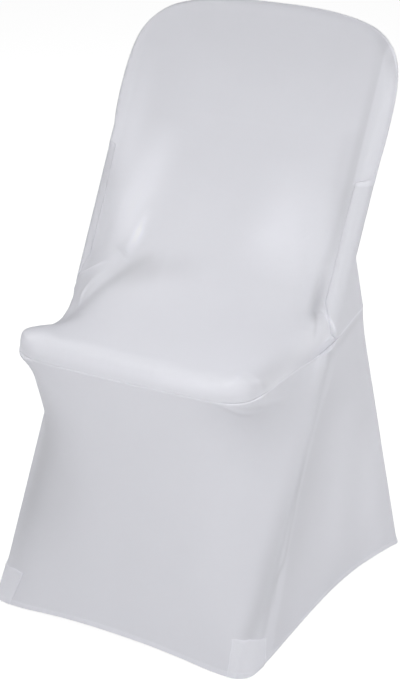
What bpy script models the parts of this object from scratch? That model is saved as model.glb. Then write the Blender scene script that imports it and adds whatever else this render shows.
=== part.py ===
"""Fitted stretch-knit chair cover: a tall hood, a seat, and a skirt that tapers onto four feet.

Every panel is a thin sheet between named seam and hem lines, pulled smooth over the form it fits.
Lengths are in metres: x runs to the right, y to the back and z up, with z = 0 at the feet.
"""
import bpy
import numpy as np
from math import atan, cos, pi, sin

# Cloth, and the gap that is kept between two sewn panels
CLOTH = 0.0015
SEAM_GAP = 0.0003
POCKET_CLOTH = 0.0010
POCKET_LIFT = 0.0009

# Straight rail line that each side of the cover follows from the hood down to the front foot
RAIL_R = 0.0155
RAIL_FOOT_X = 0.2018
RAIL_SPREAD = 0.0076
RAIL_FOOT_Y = -0.2133
RAIL_SLOPE = 0.511
LEAN = atan(RAIL_SLOPE)

# Rear leg line, from the rear corner of the seat to the rear foot
REAR_TOP = np.array([0.2055, 0.0821, 0.430])
REAR_FOOT = np.array([0.2017, 0.2361, 0.0])
REAR_R = 0.0155

# Feet: how much wider than the legs they are, and the heights over which that fades
FRONT_FLARE = 0.0025
REAR_FLARE = 0.0050
FLARE_FULL_Z = 0.015
FLARE_END_Z = 0.060

# Web behind each rail, over which the cloth runs down to the rear corner of the seat
WEB_TOP_Z = 0.530
WEB_LOW = np.array([0.2052, 0.0890, 0.440])

# Seat pad under the cloth
SEAT_HALF_WIDTH = 0.2005
SEAT_FRONT_Y = -0.1995
SEAT_REAR_Y = 0.117
SEAT_CORNER_R = 0.047
SEAT_EDGE_R = 0.013
SEAT_TOP_Z = 0.4255
SEAT_UNDER_Z = 0.374
SEAT_LEFT_STRETCH = 1.014

# Shoulders of the pad, which slope down to its sides behind the front corners
SHOULDER_START_X = 0.10
SHOULDER_START_Y = -0.170
SHOULDER_FULL_Y = -0.110
SHOULDER_DROP = 0.018

# Hood outline in the leaning plane of the rails: half width and height of its outer edge
HOOD_OUTLINE = [
    # half_width, height
    (0.0000, 0.8452),
    (0.0500, 0.8445),
    (0.1000, 0.8412),
    (0.1420, 0.8345),
    (0.1720, 0.8255),
    (0.1930, 0.8125),
    (0.2080, 0.7950),
    (0.2170, 0.7750),
    (0.2225, 0.7450),
    (0.2240, 0.7000),
    (0.2215, 0.6300),
    (0.2205, 0.5800),
    (0.2198, 0.4600),
    (0.2190, 0.3900),
]
HOOD_CORNER_HEIGHT = 0.806
HOOD_LEFT_STRETCH = 1.012
HOOD_LEFT_STRETCH_HEIGHTS = [0.60, 0.70, 0.78, 0.83]

# Where the side seam sits round the rail, in degrees: 0 is the outer side, 90 the front
SIDE_SEAM = [
    # height, right_angle, left_angle
    (0.846, 38, 24),
    (0.800, 30, 10),
    (0.770, 10, 5),
    (0.660, 8, 5),
    (0.605, 104, 100),
    (0.470, 106, 104),
    (0.415, 0, 0),
]
TOP_SEAM_SHIFT = 0.11

# Seam at seat level, right half, from the middle of the back to the middle of the front
SEAT_SEAM = [
    # x, y, z
    (0.0000, 0.1180, 0.4480),
    (0.1000, 0.1170, 0.4475),
    (0.1800, 0.1140, 0.4460),
    (0.2060, 0.1060, 0.4450),
    (0.2190, 0.0930, 0.4415),
    (0.2225, 0.0650, 0.4380),
    (0.2225, 0.0350, 0.4320),
    (0.2190, 0.0110, 0.4235),
    (0.2085, -0.0190, 0.4085),
    (0.2015, -0.0600, 0.4015),
    (0.2008, -0.1150, 0.3990),
    (0.2000, -0.1530, 0.3955),
    (0.1865, -0.1855, 0.3895),
    (0.1530, -0.1995, 0.3870),
    (0.0800, -0.2010, 0.3862),
    (0.0000, -0.2015, 0.3858),
]
LEFT_SEAM_DROP = 0.009
LEFT_SEAM_LOW_Y = -0.060
LEFT_SEAM_LOW_REACH = 0.095
REAR_LEG_AT = 3
SIDE_SEAM_AT = 7
SIDE_SEAM_LOW_Z = SEAT_SEAM[SIDE_SEAM_AT][2]

# Hem, right half, from the middle of the back to the middle of the front
HEM = [
    # x, y, z
    (0.0000, 0.2470, 0.0150),
    (0.0900, 0.2490, 0.0135),
    (0.1700, 0.2530, 0.0100),
    (0.1990, 0.2550, 0.0085),
    (0.2120, 0.2520, 0.0090),
    (0.2200, 0.2410, 0.0120),
    (0.2225, 0.2240, 0.0165),
    (0.2232, 0.1950, 0.0215),
    (0.2236, 0.1467, 0.0282),
    (0.2229, 0.0868, 0.0330),
    (0.2221, 0.0149, 0.0315),
    (0.2213, -0.0537, 0.0227),
    (0.2206, -0.1200, 0.0115),
    (0.2200, -0.1673, 0.0030),
    (0.2202, -0.2000, 0.0000),
    (0.2190, -0.2230, 0.0000),
    (0.2110, -0.2345, 0.0000),
    (0.1960, -0.2385, 0.0000),
    (0.1650, -0.2380, 0.0005),
    (0.1150, -0.2370, 0.0055),
    (0.0600, -0.2360, 0.0095),
    (0.0000, -0.2350, 0.0110),
]
REAR_FOOT_AT = 4
FRONT_FOOT_AT = 16
LEFT_FOOT_RISE = 0.0050
LEFT_FOOT_BACK = 0.0060
LEFT_FOOT_IN = 0.0030

# Facets along and across the panels, and the finer steps that they are worked out with
FRONT_COLUMNS = 28
SIDE_COLUMNS = 7
REAR_COLUMNS = FRONT_COLUMNS - 2 * SIDE_COLUMNS
HOOD_ROWS = 16
SEAT_ROWS = 12
SKIRT_ROWS = 14
FINE = 4
PER_SPAN = 40
TIGHTEN_PASSES = [(4, 500), (2, 160), (1, 60)]
FIRST_LOOSE_SHARE = 0.72
EDGE_CROWDING = 0.35
SKIRT_CROWDING = 0.60
SKIRT_SPREAD = 5.2
FRONT_SPREAD = 0.46
SIDE_HEM_SHARES = [0, 0.035, 0.10, 0.24, 0.42, 0.62, 0.82, 1]

# Facets that a foot pocket covers: up from the hem, across the front and along the side
POCKET_ROWS = 3
POCKET_FRONT = 6
POCKET_SIDE = 2

FABRIC_COLOR = (0.86, 0.86, 0.89, 1.0)
FABRIC_ROUGHNESS = 0.85

# The cover hangs from under the top of its hood
MOUNT_Z = 0.8277
MOUNT = np.array([0.0, RAIL_FOOT_Y + RAIL_SLOPE * MOUNT_Z, MOUNT_Z])

UP_RAIL = np.array([0.0, sin(LEAN), cos(LEAN)])
FORWARD = np.array([0.0, -cos(LEAN), sin(LEAN)])
PLANE_BASE = np.array([0.0, RAIL_FOOT_Y, 0.0])


def unit(vectors):
    return vectors / np.maximum(np.linalg.norm(vectors, axis=-1, keepdims=True), 1e-12)


def column(table, number):
    return np.array([row[number] for row in table])


def curve_through(points):
    """A smooth curve through the given points, with PER_SPAN steps between each two."""
    points = np.asarray(points, float)
    ends = np.vstack([2 * points[0] - points[1], points, 2 * points[-1] - points[-2]])
    knots = np.concatenate([[0], np.cumsum(np.linalg.norm(np.diff(ends, axis=0), axis=1) ** 0.5)])
    out = []
    for k in range(1, len(ends) - 2):
        t0, t1, t2, t3 = knots[k - 1:k + 3]
        p0, p1, p2, p3 = ends[k - 1:k + 3]
        t = np.linspace(t1, t2, PER_SPAN, endpoint=False)[:, None]
        a1 = (t1 - t) / (t1 - t0) * p0 + (t - t0) / (t1 - t0) * p1
        a2 = (t2 - t) / (t2 - t1) * p1 + (t - t1) / (t2 - t1) * p2
        a3 = (t3 - t) / (t3 - t2) * p2 + (t - t2) / (t3 - t2) * p3
        b1 = (t2 - t) / (t2 - t0) * a1 + (t - t0) / (t2 - t0) * a2
        b2 = (t3 - t) / (t3 - t1) * a2 + (t - t1) / (t3 - t1) * a3
        out.append((t2 - t) / (t2 - t1) * b1 + (t - t1) / (t2 - t1) * b2)
    out.append(points[-1:])
    return np.vstack(out)


def lengths(line):
    return np.concatenate([[0], np.cumsum(np.linalg.norm(np.diff(line, axis=0), axis=1))])


def along(line, fractions):
    """Points at the given fractions of a line's length."""
    at = lengths(line)
    where = np.asarray(fractions) * at[-1]
    return np.stack([np.interp(where, at, line[:, k]) for k in range(line.shape[1])], axis=1)


def spread(steps, crowding):
    """Fractions from 0 to 1 in fine steps, closer together near both ends."""
    t = np.linspace(0, 1, steps * FINE + 1)
    return t - crowding * np.sin(2 * pi * t) / (2 * pi)


def even(steps):
    return np.linspace(0, 1, steps * FINE + 1)


def rail_x(z):
    return RAIL_FOOT_X + RAIL_SPREAD * z


def rail_y(z):
    return RAIL_FOOT_Y + RAIL_SLOPE * z


# Outline of the hood and the two loops of seams and hems

def hood_edge():
    """The outer edge of the hood from low on the left over the top to low on the right."""
    right = curve_through([(w, z / cos(LEAN)) for w, z in HOOD_OUTLINE])
    height = right[:, 1] * cos(LEAN)
    share = np.interp(height, HOOD_LEFT_STRETCH_HEIGHTS, [0, 1, 1, 0])
    stretch = 1 + (HOOD_LEFT_STRETCH - 1) * share
    left = np.stack([-right[:, 0] * stretch, right[:, 1]], axis=1)[::-1]
    return np.vstack([left, right[1:]])


EDGE = hood_edge()
EDGE_OUT = unit(np.stack([-np.gradient(EDGE[:, 1]), np.gradient(EDGE[:, 0])], axis=1))
EDGE_CENTRE = EDGE - RAIL_R * EDGE_OUT


def seam_angles():
    """Angle of the top and side seam round the rail, for every point of the hood's edge."""
    height = EDGE[:, 1] * cos(LEAN)
    heights = column(SIDE_SEAM, 0)[::-1]
    right = np.interp(height, heights, column(SIDE_SEAM, 1)[::-1])
    left = np.interp(height, heights, column(SIDE_SEAM, 2)[::-1])
    share = np.clip(EDGE[:, 0] / TOP_SEAM_SHIFT / 2 + 0.5, 0, 1)
    return np.radians(share * right + (1 - share) * left)


def from_plane(flat, forward):
    """Points of the rails' leaning plane, as x and the distance up it, moved forward."""
    forward = np.broadcast_to(forward, flat.shape[:-1])[..., None]
    across = flat[..., :1] * np.array([1.0, 0.0, 0.0])
    return PLANE_BASE + across + flat[..., 1:2] * UP_RAIL + forward * FORWARD


def closed_loop(table, left_of):
    """A smooth loop from the rows of a right half and the function that makes the left half."""
    left = [left_of(*row) for row in table[::-1]]
    return curve_through(list(table) + left[1:])


def left_of_seat(x, y, z):
    beside_pad = np.clip(1 - abs(y - LEFT_SEAM_LOW_Y) / LEFT_SEAM_LOW_REACH, 0, 1)
    return (-x * SEAT_LEFT_STRETCH, y, z - LEFT_SEAM_DROP * beside_pad)


def left_of_hem(x, y, z):
    near_foot = np.clip(-y / 0.2, 0, 1) * np.clip(x / 0.2, 0, 1)
    return (-x + LEFT_FOOT_IN * near_foot,
            y + LEFT_FOOT_BACK * near_foot,
            z + LEFT_FOOT_RISE * near_foot)


SEAM_LOOP = closed_loop(SEAT_SEAM, left_of_seat)
HEM_LOOP = closed_loop(HEM, left_of_hem)
LAST_SEAM = 2 * (len(SEAT_SEAM) - 1)
LAST_HEM = 2 * (len(HEM) - 1)


def stretch_of(loop, start, end):
    """The part of a loop between two of its table rows."""
    return loop[start * PER_SPAN:end * PER_SPAN + 1]


# Form that the sheets stay clear of

def shoulder_drop(points):
    """How far the pad's top lies under its full height at each point."""
    beside = (np.abs(points[:, 0]) - SHOULDER_START_X) / (SEAT_HALF_WIDTH - SHOULDER_START_X)
    behind = (points[:, 1] - SHOULDER_START_Y) / (SHOULDER_FULL_Y - SHOULDER_START_Y)
    drop = SHOULDER_DROP * np.clip(beside, 0, 1) ** 2 * np.clip(behind, 0, 1)
    return drop[:, None] * np.array([0.0, 0.0, 1.0])


def clear_of_seat(points):
    """Push points off the seat pad, a slab with round corners, a rolled edge and low shoulders."""
    drop = shoulder_drop(points)
    points = points + drop
    middle = np.array([0.0, (SEAT_REAR_Y + SEAT_FRONT_Y) / 2, (SEAT_TOP_Z + SEAT_UNDER_Z) / 2])
    half = np.array([SEAT_HALF_WIDTH, (SEAT_REAR_Y - SEAT_FRONT_Y) / 2,
                     (SEAT_TOP_Z - SEAT_UNDER_Z) / 2])
    sign = np.where(points < middle, -1.0, 1.0)
    wider = np.where(points[:, :1] < 0, [SEAT_LEFT_STRETCH, 1.0, 1.0], 1.0)
    local = np.abs(points - middle) / wider
    past = local[:, :2] - half[:2] + SEAT_CORNER_R
    corner = np.linalg.norm(np.maximum(past, 0), axis=1)
    inside = corner == 0
    plan = np.where(inside, past.max(axis=1), corner) - SEAT_CORNER_R
    nearest_side = np.eye(2)[past.argmax(axis=1)]
    out = np.where(inside[:, None], nearest_side, np.maximum(past, 0) / np.maximum(corner, 1e-9)[:, None])
    flat = plan + SEAT_EDGE_R
    rise = local[:, 2] - half[2] + SEAT_EDGE_R
    roll = np.hypot(np.maximum(flat, 0), np.maximum(rise, 0))
    deep = roll == 0
    depth = np.where(deep, np.maximum(flat, rise), roll) - SEAT_EDGE_R
    flat_share = np.where(deep, flat > rise, np.maximum(flat, 0) / np.maximum(roll, 1e-9))
    rise_share = np.where(deep, flat <= rise, np.maximum(rise, 0) / np.maximum(roll, 1e-9))
    step = np.column_stack([out * flat_share[:, None], rise_share]) * sign
    return points + np.maximum(-depth, 0)[:, None] * step - drop


def clear_of_front_form(points):
    """Keep points of the front ahead of the rails and above the seat pad."""
    forward = (points - PLANE_BASE) @ FORWARD
    beside = np.clip(np.abs(points[:, 0]) - rail_x(points[:, 2]), 0, RAIL_R)
    least = np.sqrt(RAIL_R ** 2 - beside ** 2)
    held = (points[:, 2] > 0.55) | (beside > 0)
    lift = np.where(held, np.maximum(least - forward, 0), 0)
    return clear_of_seat(points + lift[:, None] * FORWARD)


def clear_of_back_form(points):
    """Push points off the rails and the webs behind them, in plan at each point's own height."""
    squash = np.array([1.0, cos(LEAN)])
    side = np.where(points[:, 0] < 0, -1.0, 1.0)
    local = np.stack([np.abs(points[:, 0]), points[:, 1]], axis=1) * squash
    z = points[:, 2]
    share = np.maximum((WEB_TOP_Z - z) / (WEB_TOP_Z - WEB_LOW[2]), 0)[:, None]
    rail_low = np.array([rail_x(WEB_LOW[2]), rail_y(WEB_LOW[2])])
    near = np.stack([rail_x(z), rail_y(z)], axis=1) * squash
    run = share * (WEB_LOW[:2] - rail_low) * squash
    along_run = ((local - near) * run).sum(1) / np.maximum((run * run).sum(1), 1e-12)
    middle = near + np.clip(along_run, 0, 1)[:, None] * run
    away = local - middle
    reach = np.linalg.norm(away, axis=1, keepdims=True)
    pushed = middle + away * RAIL_R / np.maximum(reach, 1e-9)
    local = np.where(reach < RAIL_R, pushed, local) / squash
    return np.column_stack([local[:, 0] * side, local[:, 1], z])


def flare(z):
    return np.clip((FLARE_END_Z - z) / (FLARE_END_Z - FLARE_FULL_Z), 0, 1)


def clear_of_legs(points):
    """Keep points outside the straight-sided hull of the four leg lines at their own height."""
    z = np.clip(points[:, 2], 0, REAR_TOP[2])
    share = (z / REAR_TOP[2])[:, None]
    front = np.stack([rail_x(z), rail_y(z)], axis=1)
    rear = REAR_FOOT[:2] * (1 - share) + REAR_TOP[:2] * share
    centre_line = np.array([0.0, 1.0])
    corners = [front * centre_line, front, rear, rear * centre_line]
    side = np.where(points[:, 0] < 0, -1.0, 1.0)
    local = np.stack([np.abs(points[:, 0]), points[:, 1]], axis=1)
    best = np.full(len(points), np.inf)
    foot = local.copy()
    out = np.zeros_like(local)
    inside = np.ones(len(points), bool)
    for start, end in zip(corners[:-1], corners[1:]):
        run = end - start
        normal = unit(np.stack([run[:, 1], -run[:, 0]], axis=1))
        inside &= ((local - start) * normal).sum(1) < 0
        t = np.clip(((local - start) * run).sum(1) / (run * run).sum(1), 0, 1)
        near = start + t[:, None] * run
        gap = np.linalg.norm(local - near, axis=1)
        closer = gap < best
        best = np.where(closer, gap, best)
        foot = np.where(closer[:, None], near, foot)
        out = np.where(closer[:, None], normal, out)
    ahead = np.clip((foot[:, 1] - front[:, 1]) / (rear[:, 1] - front[:, 1]), 0, 1)
    radius = ((RAIL_R + FRONT_FLARE * flare(z)) * (1 - ahead)
              + (REAR_R + REAR_FLARE * flare(z)) * ahead)
    outward = np.where((inside | (best < 1e-6))[:, None], out, unit(local - foot))
    pushed = foot + radius[:, None] * outward
    hit = inside | (best < radius)
    local = np.where(hit[:, None], pushed, local)
    return np.column_stack([local[:, 0] * side, local[:, 1], points[:, 2]])


def clear_of_skirt_form(points):
    return clear_of_seat(clear_of_legs(points))


# Sheets

def wrap(flat, facing):
    """Lay a flat sheet on the hood: straight between the rails and curled round its rim.

    Facing is 1 for the front and -1 for the back. The flat sheet lies in the leaning plane and
    sticks out past the rim's centre line by the length that curls round it.
    """
    points = flat.reshape(-1, 2)
    near = np.concatenate([
        ((block[:, None] - EDGE_CENTRE[None]) ** 2).sum(2).argmin(1)
        for block in np.array_split(points, 8)])
    centre = EDGE_CENTRE[near]
    out = EDGE_OUT[near]
    beyond = ((points - centre) * out).sum(1)
    curl = np.maximum(beyond, 0) / RAIL_R
    laid = np.where((beyond > 0)[:, None], centre + RAIL_R * np.sin(curl)[:, None] * out, points)
    forward = facing * np.where(beyond > 0, RAIL_R * np.cos(curl), RAIL_R)
    return from_plane(laid, forward).reshape(*flat.shape[:-1], 3)


def between(top, bottom, left, right, across, down):
    """A sheet that joins four edges, by blending them over the two lists of fractions."""
    u = np.asarray(across)[None, :, None]
    v = np.asarray(down)[:, None, None]
    sides = (1 - u) * left[:, None] + u * right[:, None]
    ends = (1 - v) * top[None] + v * bottom[None]
    corners = ((1 - u) * (1 - v) * top[0] + u * (1 - v) * top[-1]
               + (1 - u) * v * bottom[0] + u * v * bottom[-1])
    return sides + ends - corners


def refined(coarse, shape):
    """A grid of values filled in evenly to a finer grid."""
    rows = np.linspace(0, coarse.shape[0] - 1, shape[0])
    columns = np.linspace(0, coarse.shape[1] - 1, shape[1])
    low_row = np.minimum(rows.astype(int), coarse.shape[0] - 2)
    low_column = np.minimum(columns.astype(int), coarse.shape[1] - 2)
    row_share = (rows - low_row)[:, None, None]
    column_share = (columns - low_column)[None, :, None]
    filled = coarse[low_row] * (1 - row_share) + coarse[low_row + 1] * row_share
    return filled[:, low_column] * (1 - column_share) + filled[:, low_column + 1] * column_share


def settle(sheet, across, down, clear, sweeps, first_row):
    """Move every inner point towards the middle of its neighbours, over and over."""
    du = np.diff(across)
    dv = np.diff(down)
    cell_u = (du[:-1] + du[1:])[None, :, None] / 2
    cell_v = (dv[:-1] + dv[1:])[:, None, None] / 2
    pull_left = cell_v / du[:-1][None, :, None]
    pull_right = cell_v / du[1:][None, :, None]
    pull_up = cell_u / dv[:-1][:, None, None]
    pull_down = cell_u / dv[1:][:, None, None]
    total = pull_left + pull_right + pull_up + pull_down
    for _ in range(sweeps):
        middle = (pull_left * sheet[1:-1, :-2] + pull_right * sheet[1:-1, 2:]
                  + pull_up * sheet[:-2, 1:-1] + pull_down * sheet[2:, 1:-1]) / total
        moved = middle[first_row - 1:]
        sheet[first_row:-1, 1:-1] = clear(moved.reshape(-1, 3)).reshape(moved.shape)


def tighten(sheet, across, down, clear, first_row=1):
    """Pull a sheet smooth between its fixed edges while it stays clear of the form under it.

    It is worked out from the facets' own grid to the fine one, and each pass adds to the last.
    """
    for step, sweeps in TIGHTEN_PASSES:
        coarse = sheet[::step, ::step].copy()
        settle(coarse, across[::step], down[::step], clear, sweeps, max(first_row // step, 1))
        sheet = sheet + refined(coarse - sheet[::step, ::step], sheet.shape)
    return sheet


def corner_indices():
    """The hood edge's points at its two upper corners, where the top seam meets the side seams."""
    wanted = np.array([0.21, HOOD_CORNER_HEIGHT / cos(LEAN)])
    right = int(((EDGE - wanted) ** 2).sum(1).argmin())
    return len(EDGE) - 1 - right, right


def low_index(side):
    """The hood edge's last point before its side seam bends off to the seam at seat level."""
    wanted = np.array([side * 0.219, (SIDE_SEAM_LOW_Z + 0.008) / cos(LEAN)])
    return int(((EDGE - wanted) ** 2).sum(1).argmin())


def side_line(values, joint, side):
    """Values down one side of the hood's edge, from its upper corner to the seam at seat level."""
    corner = corner_indices()[0 if side < 0 else 1]
    index = np.arange(corner, low_index(side), side)
    return np.vstack([values[index], joint[None]])


def hood_sheet(facing, seam, flat_seam, across, seam_sides):
    """The part of the front or back that lies flat on the hood, down to HOOD_ROWS."""
    left_corner, right_corner = corner_indices()
    top_edge = slice(left_corner, right_corner + 1)
    flat_top = along(flat_seam[top_edge], across)
    down = even(HOOD_ROWS)
    share = HOOD_ROWS / (HOOD_ROWS + SEAT_ROWS)
    flat_sides = {}
    for side in (-1, 1):
        flat_line = side_line(flat_seam, flat_seam[low_index(side)], side)
        flat_sides[side] = along(flat_line, down * share)
    flat_bottom = flat_sides[-1][-1] + (flat_sides[1][-1] - flat_sides[-1][-1]) * across[:, None]
    hood = wrap(between(flat_top, flat_bottom, flat_sides[-1], flat_sides[1], across, down), facing)
    hood[0] = along(seam[top_edge], across)
    hood[:, 0] = seam_sides[-1][:len(down)]
    hood[:, -1] = seam_sides[1][:len(down)]
    return hood


def seat_seam_points(across):
    """The seam at seat level as the panels share it: left side, front, right side and back."""
    front = stretch_of(SEAM_LOOP, SIDE_SEAM_AT, LAST_SEAM - SIDE_SEAM_AT)[::-1]
    left = stretch_of(SEAM_LOOP, LAST_SEAM - SIDE_SEAM_AT, LAST_SEAM - REAR_LEG_AT)
    right = stretch_of(SEAM_LOOP, REAR_LEG_AT, SIDE_SEAM_AT)
    back = np.vstack([stretch_of(SEAM_LOOP, LAST_SEAM - REAR_LEG_AT, LAST_SEAM),
                      stretch_of(SEAM_LOOP, 0, REAR_LEG_AT)[1:]])
    return {"front": along(front, across), "left": along(left, even(SIDE_COLUMNS)),
            "right": along(right, even(SIDE_COLUMNS)), "back": along(back, even(REAR_COLUMNS))}


def upper_sheets(across, seat_seam):
    """The front and the back, each with its part of the hood and its part of the seat."""
    angle = seam_angles()[:, None]
    seam = from_plane(EDGE_CENTRE + RAIL_R * np.cos(angle) * EDGE_OUT, RAIL_R * np.sin(angle[:, 0]))
    joints = {-1: seat_seam["front"][0], 1: seat_seam["front"][-1]}
    down = even(HOOD_ROWS + SEAT_ROWS)
    seam_sides = {side: along(side_line(seam, joints[side], side), down) for side in (-1, 1)}
    bottoms = {1: seat_seam["front"],
               -1: np.vstack([seat_seam["left"], seat_seam["back"][1:], seat_seam["right"][1:]])}
    clear = {1: clear_of_front_form, -1: clear_of_back_form}
    split = HOOD_ROWS * FINE
    sheets = {}
    for facing in (1, -1):
        flat_seam = EDGE_CENTRE + RAIL_R * (pi / 2 - facing * angle) * EDGE_OUT
        hood = hood_sheet(facing, seam, flat_seam, across, seam_sides)
        lower = between(hood[-1], bottoms[facing], seam_sides[-1][split:], seam_sides[1][split:],
                        across, even(SEAT_ROWS))
        whole = np.vstack([hood[:-1], lower])
        spread_out = across * (FRONT_SPREAD if facing > 0 else 1.0)
        sheets[facing] = tighten(whole, spread_out, down, clear[facing],
                                 int(split * FIRST_LOOSE_SHARE))
    return sheets[1], sheets[-1]


def lower_sheets(across, seat_seam):
    """The skirt: one piece round the front and both sides, and one across the back."""
    down = spread(SKIRT_ROWS, SKIRT_CROWDING)
    toward_middle = np.minimum(across, 1 - across) * 2
    front_share = 0.5 * (0.25 * toward_middle + 0.75 * toward_middle ** 3.5)
    front_share = np.where(across > 0.5, 1 - front_share, front_share)
    side_share = np.interp(even(SIDE_COLUMNS), np.linspace(0, 1, SIDE_COLUMNS + 1), SIDE_HEM_SHARES)
    hem_right = along(stretch_of(HEM_LOOP, REAR_FOOT_AT, FRONT_FOOT_AT)[::-1], side_share)
    left_foot_at = LAST_HEM - FRONT_FOOT_AT
    hem_front = along(stretch_of(HEM_LOOP, FRONT_FOOT_AT, left_foot_at)[::-1], front_share)
    hem_left = along(stretch_of(HEM_LOOP, left_foot_at, LAST_HEM - REAR_FOOT_AT), side_share)
    hem_back = np.vstack([stretch_of(HEM_LOOP, LAST_HEM - REAR_FOOT_AT, LAST_HEM),
                          stretch_of(HEM_LOOP, 0, REAR_FOOT_AT)[1:]])
    hem_back = along(hem_back, even(REAR_COLUMNS))
    top = np.vstack([seat_seam["left"][::-1], seat_seam["front"][1:], seat_seam["right"][::-1][1:]])
    bottom = np.vstack([hem_left[::-1], hem_front[1:], hem_right[1:]])
    leg_seams = [clear_of_legs(high + (low - high) * down[:, None])
                 for high, low in ((seat_seam["back"][0], hem_back[0]),
                                   (seat_seam["back"][-1], hem_back[-1]))]
    for line, ends in zip(leg_seams, ((top[0], bottom[0]), (top[-1], bottom[-1]))):
        line[0], line[-1] = ends
    side_width = 0.27
    across_wrap = np.concatenate([even(SIDE_COLUMNS) * side_width,
                                  side_width + (1 - 2 * side_width) * across[1:],
                                  1 - side_width + even(SIDE_COLUMNS)[1:] * side_width])
    skirt = between(top, bottom, *leg_seams, across_wrap, down)
    skirt = tighten(skirt, across_wrap * SKIRT_SPREAD, down, clear_of_skirt_form)
    back = between(seat_seam["back"], hem_back, *leg_seams, even(REAR_COLUMNS), down)
    back = tighten(back, even(REAR_COLUMNS), down, clear_of_legs)
    return skirt, back


def build_sheets():
    """The four panels as fine grids of points on their outer faces."""
    across = spread(FRONT_COLUMNS, EDGE_CROWDING)
    seat_seam = seat_seam_points(across)
    front, back = upper_sheets(across, seat_seam)
    skirt, skirt_back = lower_sheets(across, seat_seam)
    return {"front_panel": front, "back_panel": back, "skirt_wrap": skirt, "skirt_back": skirt_back}


# Rows of a back panel's grid run the other way round, seen from outside
OUTWARD = {"front_panel": 1, "back_panel": -1, "skirt_wrap": 1, "skirt_back": -1}


# Solids

def summed_normals(grid, outward):
    """Normals at a grid's points, summed from the facets round them."""
    facet = np.cross(grid[1:, :-1] - grid[:-1, 1:], grid[1:, 1:] - grid[:-1, :-1]) * outward
    total = np.zeros_like(grid)
    total[:-1, :-1] += facet
    total[1:, :-1] += facet
    total[:-1, 1:] += facet
    total[1:, 1:] += facet
    return total


def shared_normals(grids):
    """Unit normals, the same for both panels where they meet on a seam."""
    raw = {name: summed_normals(grid, OUTWARD[name]) for name, grid in grids.items()}
    keys = {name: [tuple(point) for point in np.round(grid.reshape(-1, 3), 5)]
            for name, grid in grids.items()}
    sums = {}
    for name in grids:
        for key, normal in zip(keys[name], raw[name].reshape(-1, 3)):
            sums[key] = sums.get(key, 0) + normal
    return {name: unit(np.array([sums[key] for key in keys[name]])).reshape(grid.shape)
            for name, grid in grids.items()}


def drawn_in(grid, distance):
    """The grid with its outer ring of points moved inwards, which leaves the gap at the seams."""
    out = grid.copy()
    out[0] += distance * unit(grid[1] - grid[0])
    out[-1] += distance * unit(grid[-2] - grid[-1])
    out[:, 0] += distance * unit(grid[:, 1] - grid[:, 0])
    out[:, -1] += distance * unit(grid[:, -2] - grid[:, -1])
    return out


def fabric_material(name):
    material = bpy.data.materials.new(name)
    material.use_nodes = True
    shader = material.node_tree.nodes["Principled BSDF"]
    shader.inputs["Base Color"].default_value = FABRIC_COLOR
    shader.inputs["Roughness"].default_value = FABRIC_ROUGHNESS
    shader.inputs["Metallic"].default_value = 0.0
    return material


def make_sheet(name, outer, inner, outward, holder):
    """A closed thin solid between two grids of points."""
    rows, columns = outer.shape[:2]
    count = rows * columns
    points = np.vstack([outer.reshape(-1, 3), inner.reshape(-1, 3)])
    number = np.arange(count).reshape(rows, columns)
    quads = np.stack([number[:-1, :-1], number[1:, :-1], number[1:, 1:], number[:-1, 1:]], axis=-1)
    quads = quads.reshape(-1, 4)[:, ::outward]
    faces = quads.tolist() + (quads[:, ::-1] + count).tolist()
    ring = np.concatenate([number[0, :-1], number[:-1, -1], number[-1, :0:-1], number[:0:-1, 0]])
    ahead = np.roll(ring, -1)
    rim = np.stack([ring, ahead, ahead + count, ring + count], axis=1)[:, ::outward]
    mesh = bpy.data.meshes.new(name)
    mesh.from_pydata(points.tolist(), [], faces + rim.tolist())
    mesh.shade_smooth()
    mesh.materials.append(fabric_material(name + "_knit"))
    piece = bpy.data.objects.new(name, mesh)
    piece.parent = holder
    bpy.context.scene.collection.objects.link(piece)


def make_pocket(name, skirt, normals, foot_column, inward, holder):
    """A patch of doubled cloth round a front foot, on the lowest facets of the skirt."""
    columns = sorted((foot_column + inward * POCKET_FRONT, foot_column - inward * POCKET_SIDE))
    block = (slice(-1 - POCKET_ROWS, None), slice(columns[0], columns[1] + 1))
    inner = skirt[block] + POCKET_LIFT * normals[block]
    make_sheet(name, inner + POCKET_CLOTH * normals[block], inner, 1, holder)


def main():
    for old in list(bpy.data.objects):
        bpy.data.objects.remove(old)
    holder = bpy.data.objects.new("cover", None)
    holder.location = -MOUNT
    bpy.context.scene.collection.objects.link(holder)
    grids = {name: sheet[::FINE, ::FINE] for name, sheet in build_sheets().items()}
    normals = shared_normals(grids)
    for name, grid in grids.items():
        outer = drawn_in(grid, SEAM_GAP / 2)
        inner = drawn_in(grid - CLOTH * normals[name], SEAM_GAP / 2)
        make_sheet(name, outer, inner, OUTWARD[name], holder)
    skirt = (grids["skirt_wrap"], normals["skirt_wrap"])
    make_pocket("foot_pocket_left", *skirt, SIDE_COLUMNS, 1, holder)
    make_pocket("foot_pocket_right", *skirt, SIDE_COLUMNS + FRONT_COLUMNS, -1, holder)


main()
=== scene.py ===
"""White stretch-knit chair cover as it looks: fine sheets with seams, hems, folds and doubled feet.

The panels are pulled over the same form as the model's solids and then dressed on a finer grid.
Lengths are in metres. The form is worked out with z = 0 at the feet, and the finished pieces are
moved so that the frame's origin lies under the top of the hood.
"""
from math import atan, cos, pi, radians, sin

import bpy
import numpy as np
from mathutils import Matrix, Vector

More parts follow.
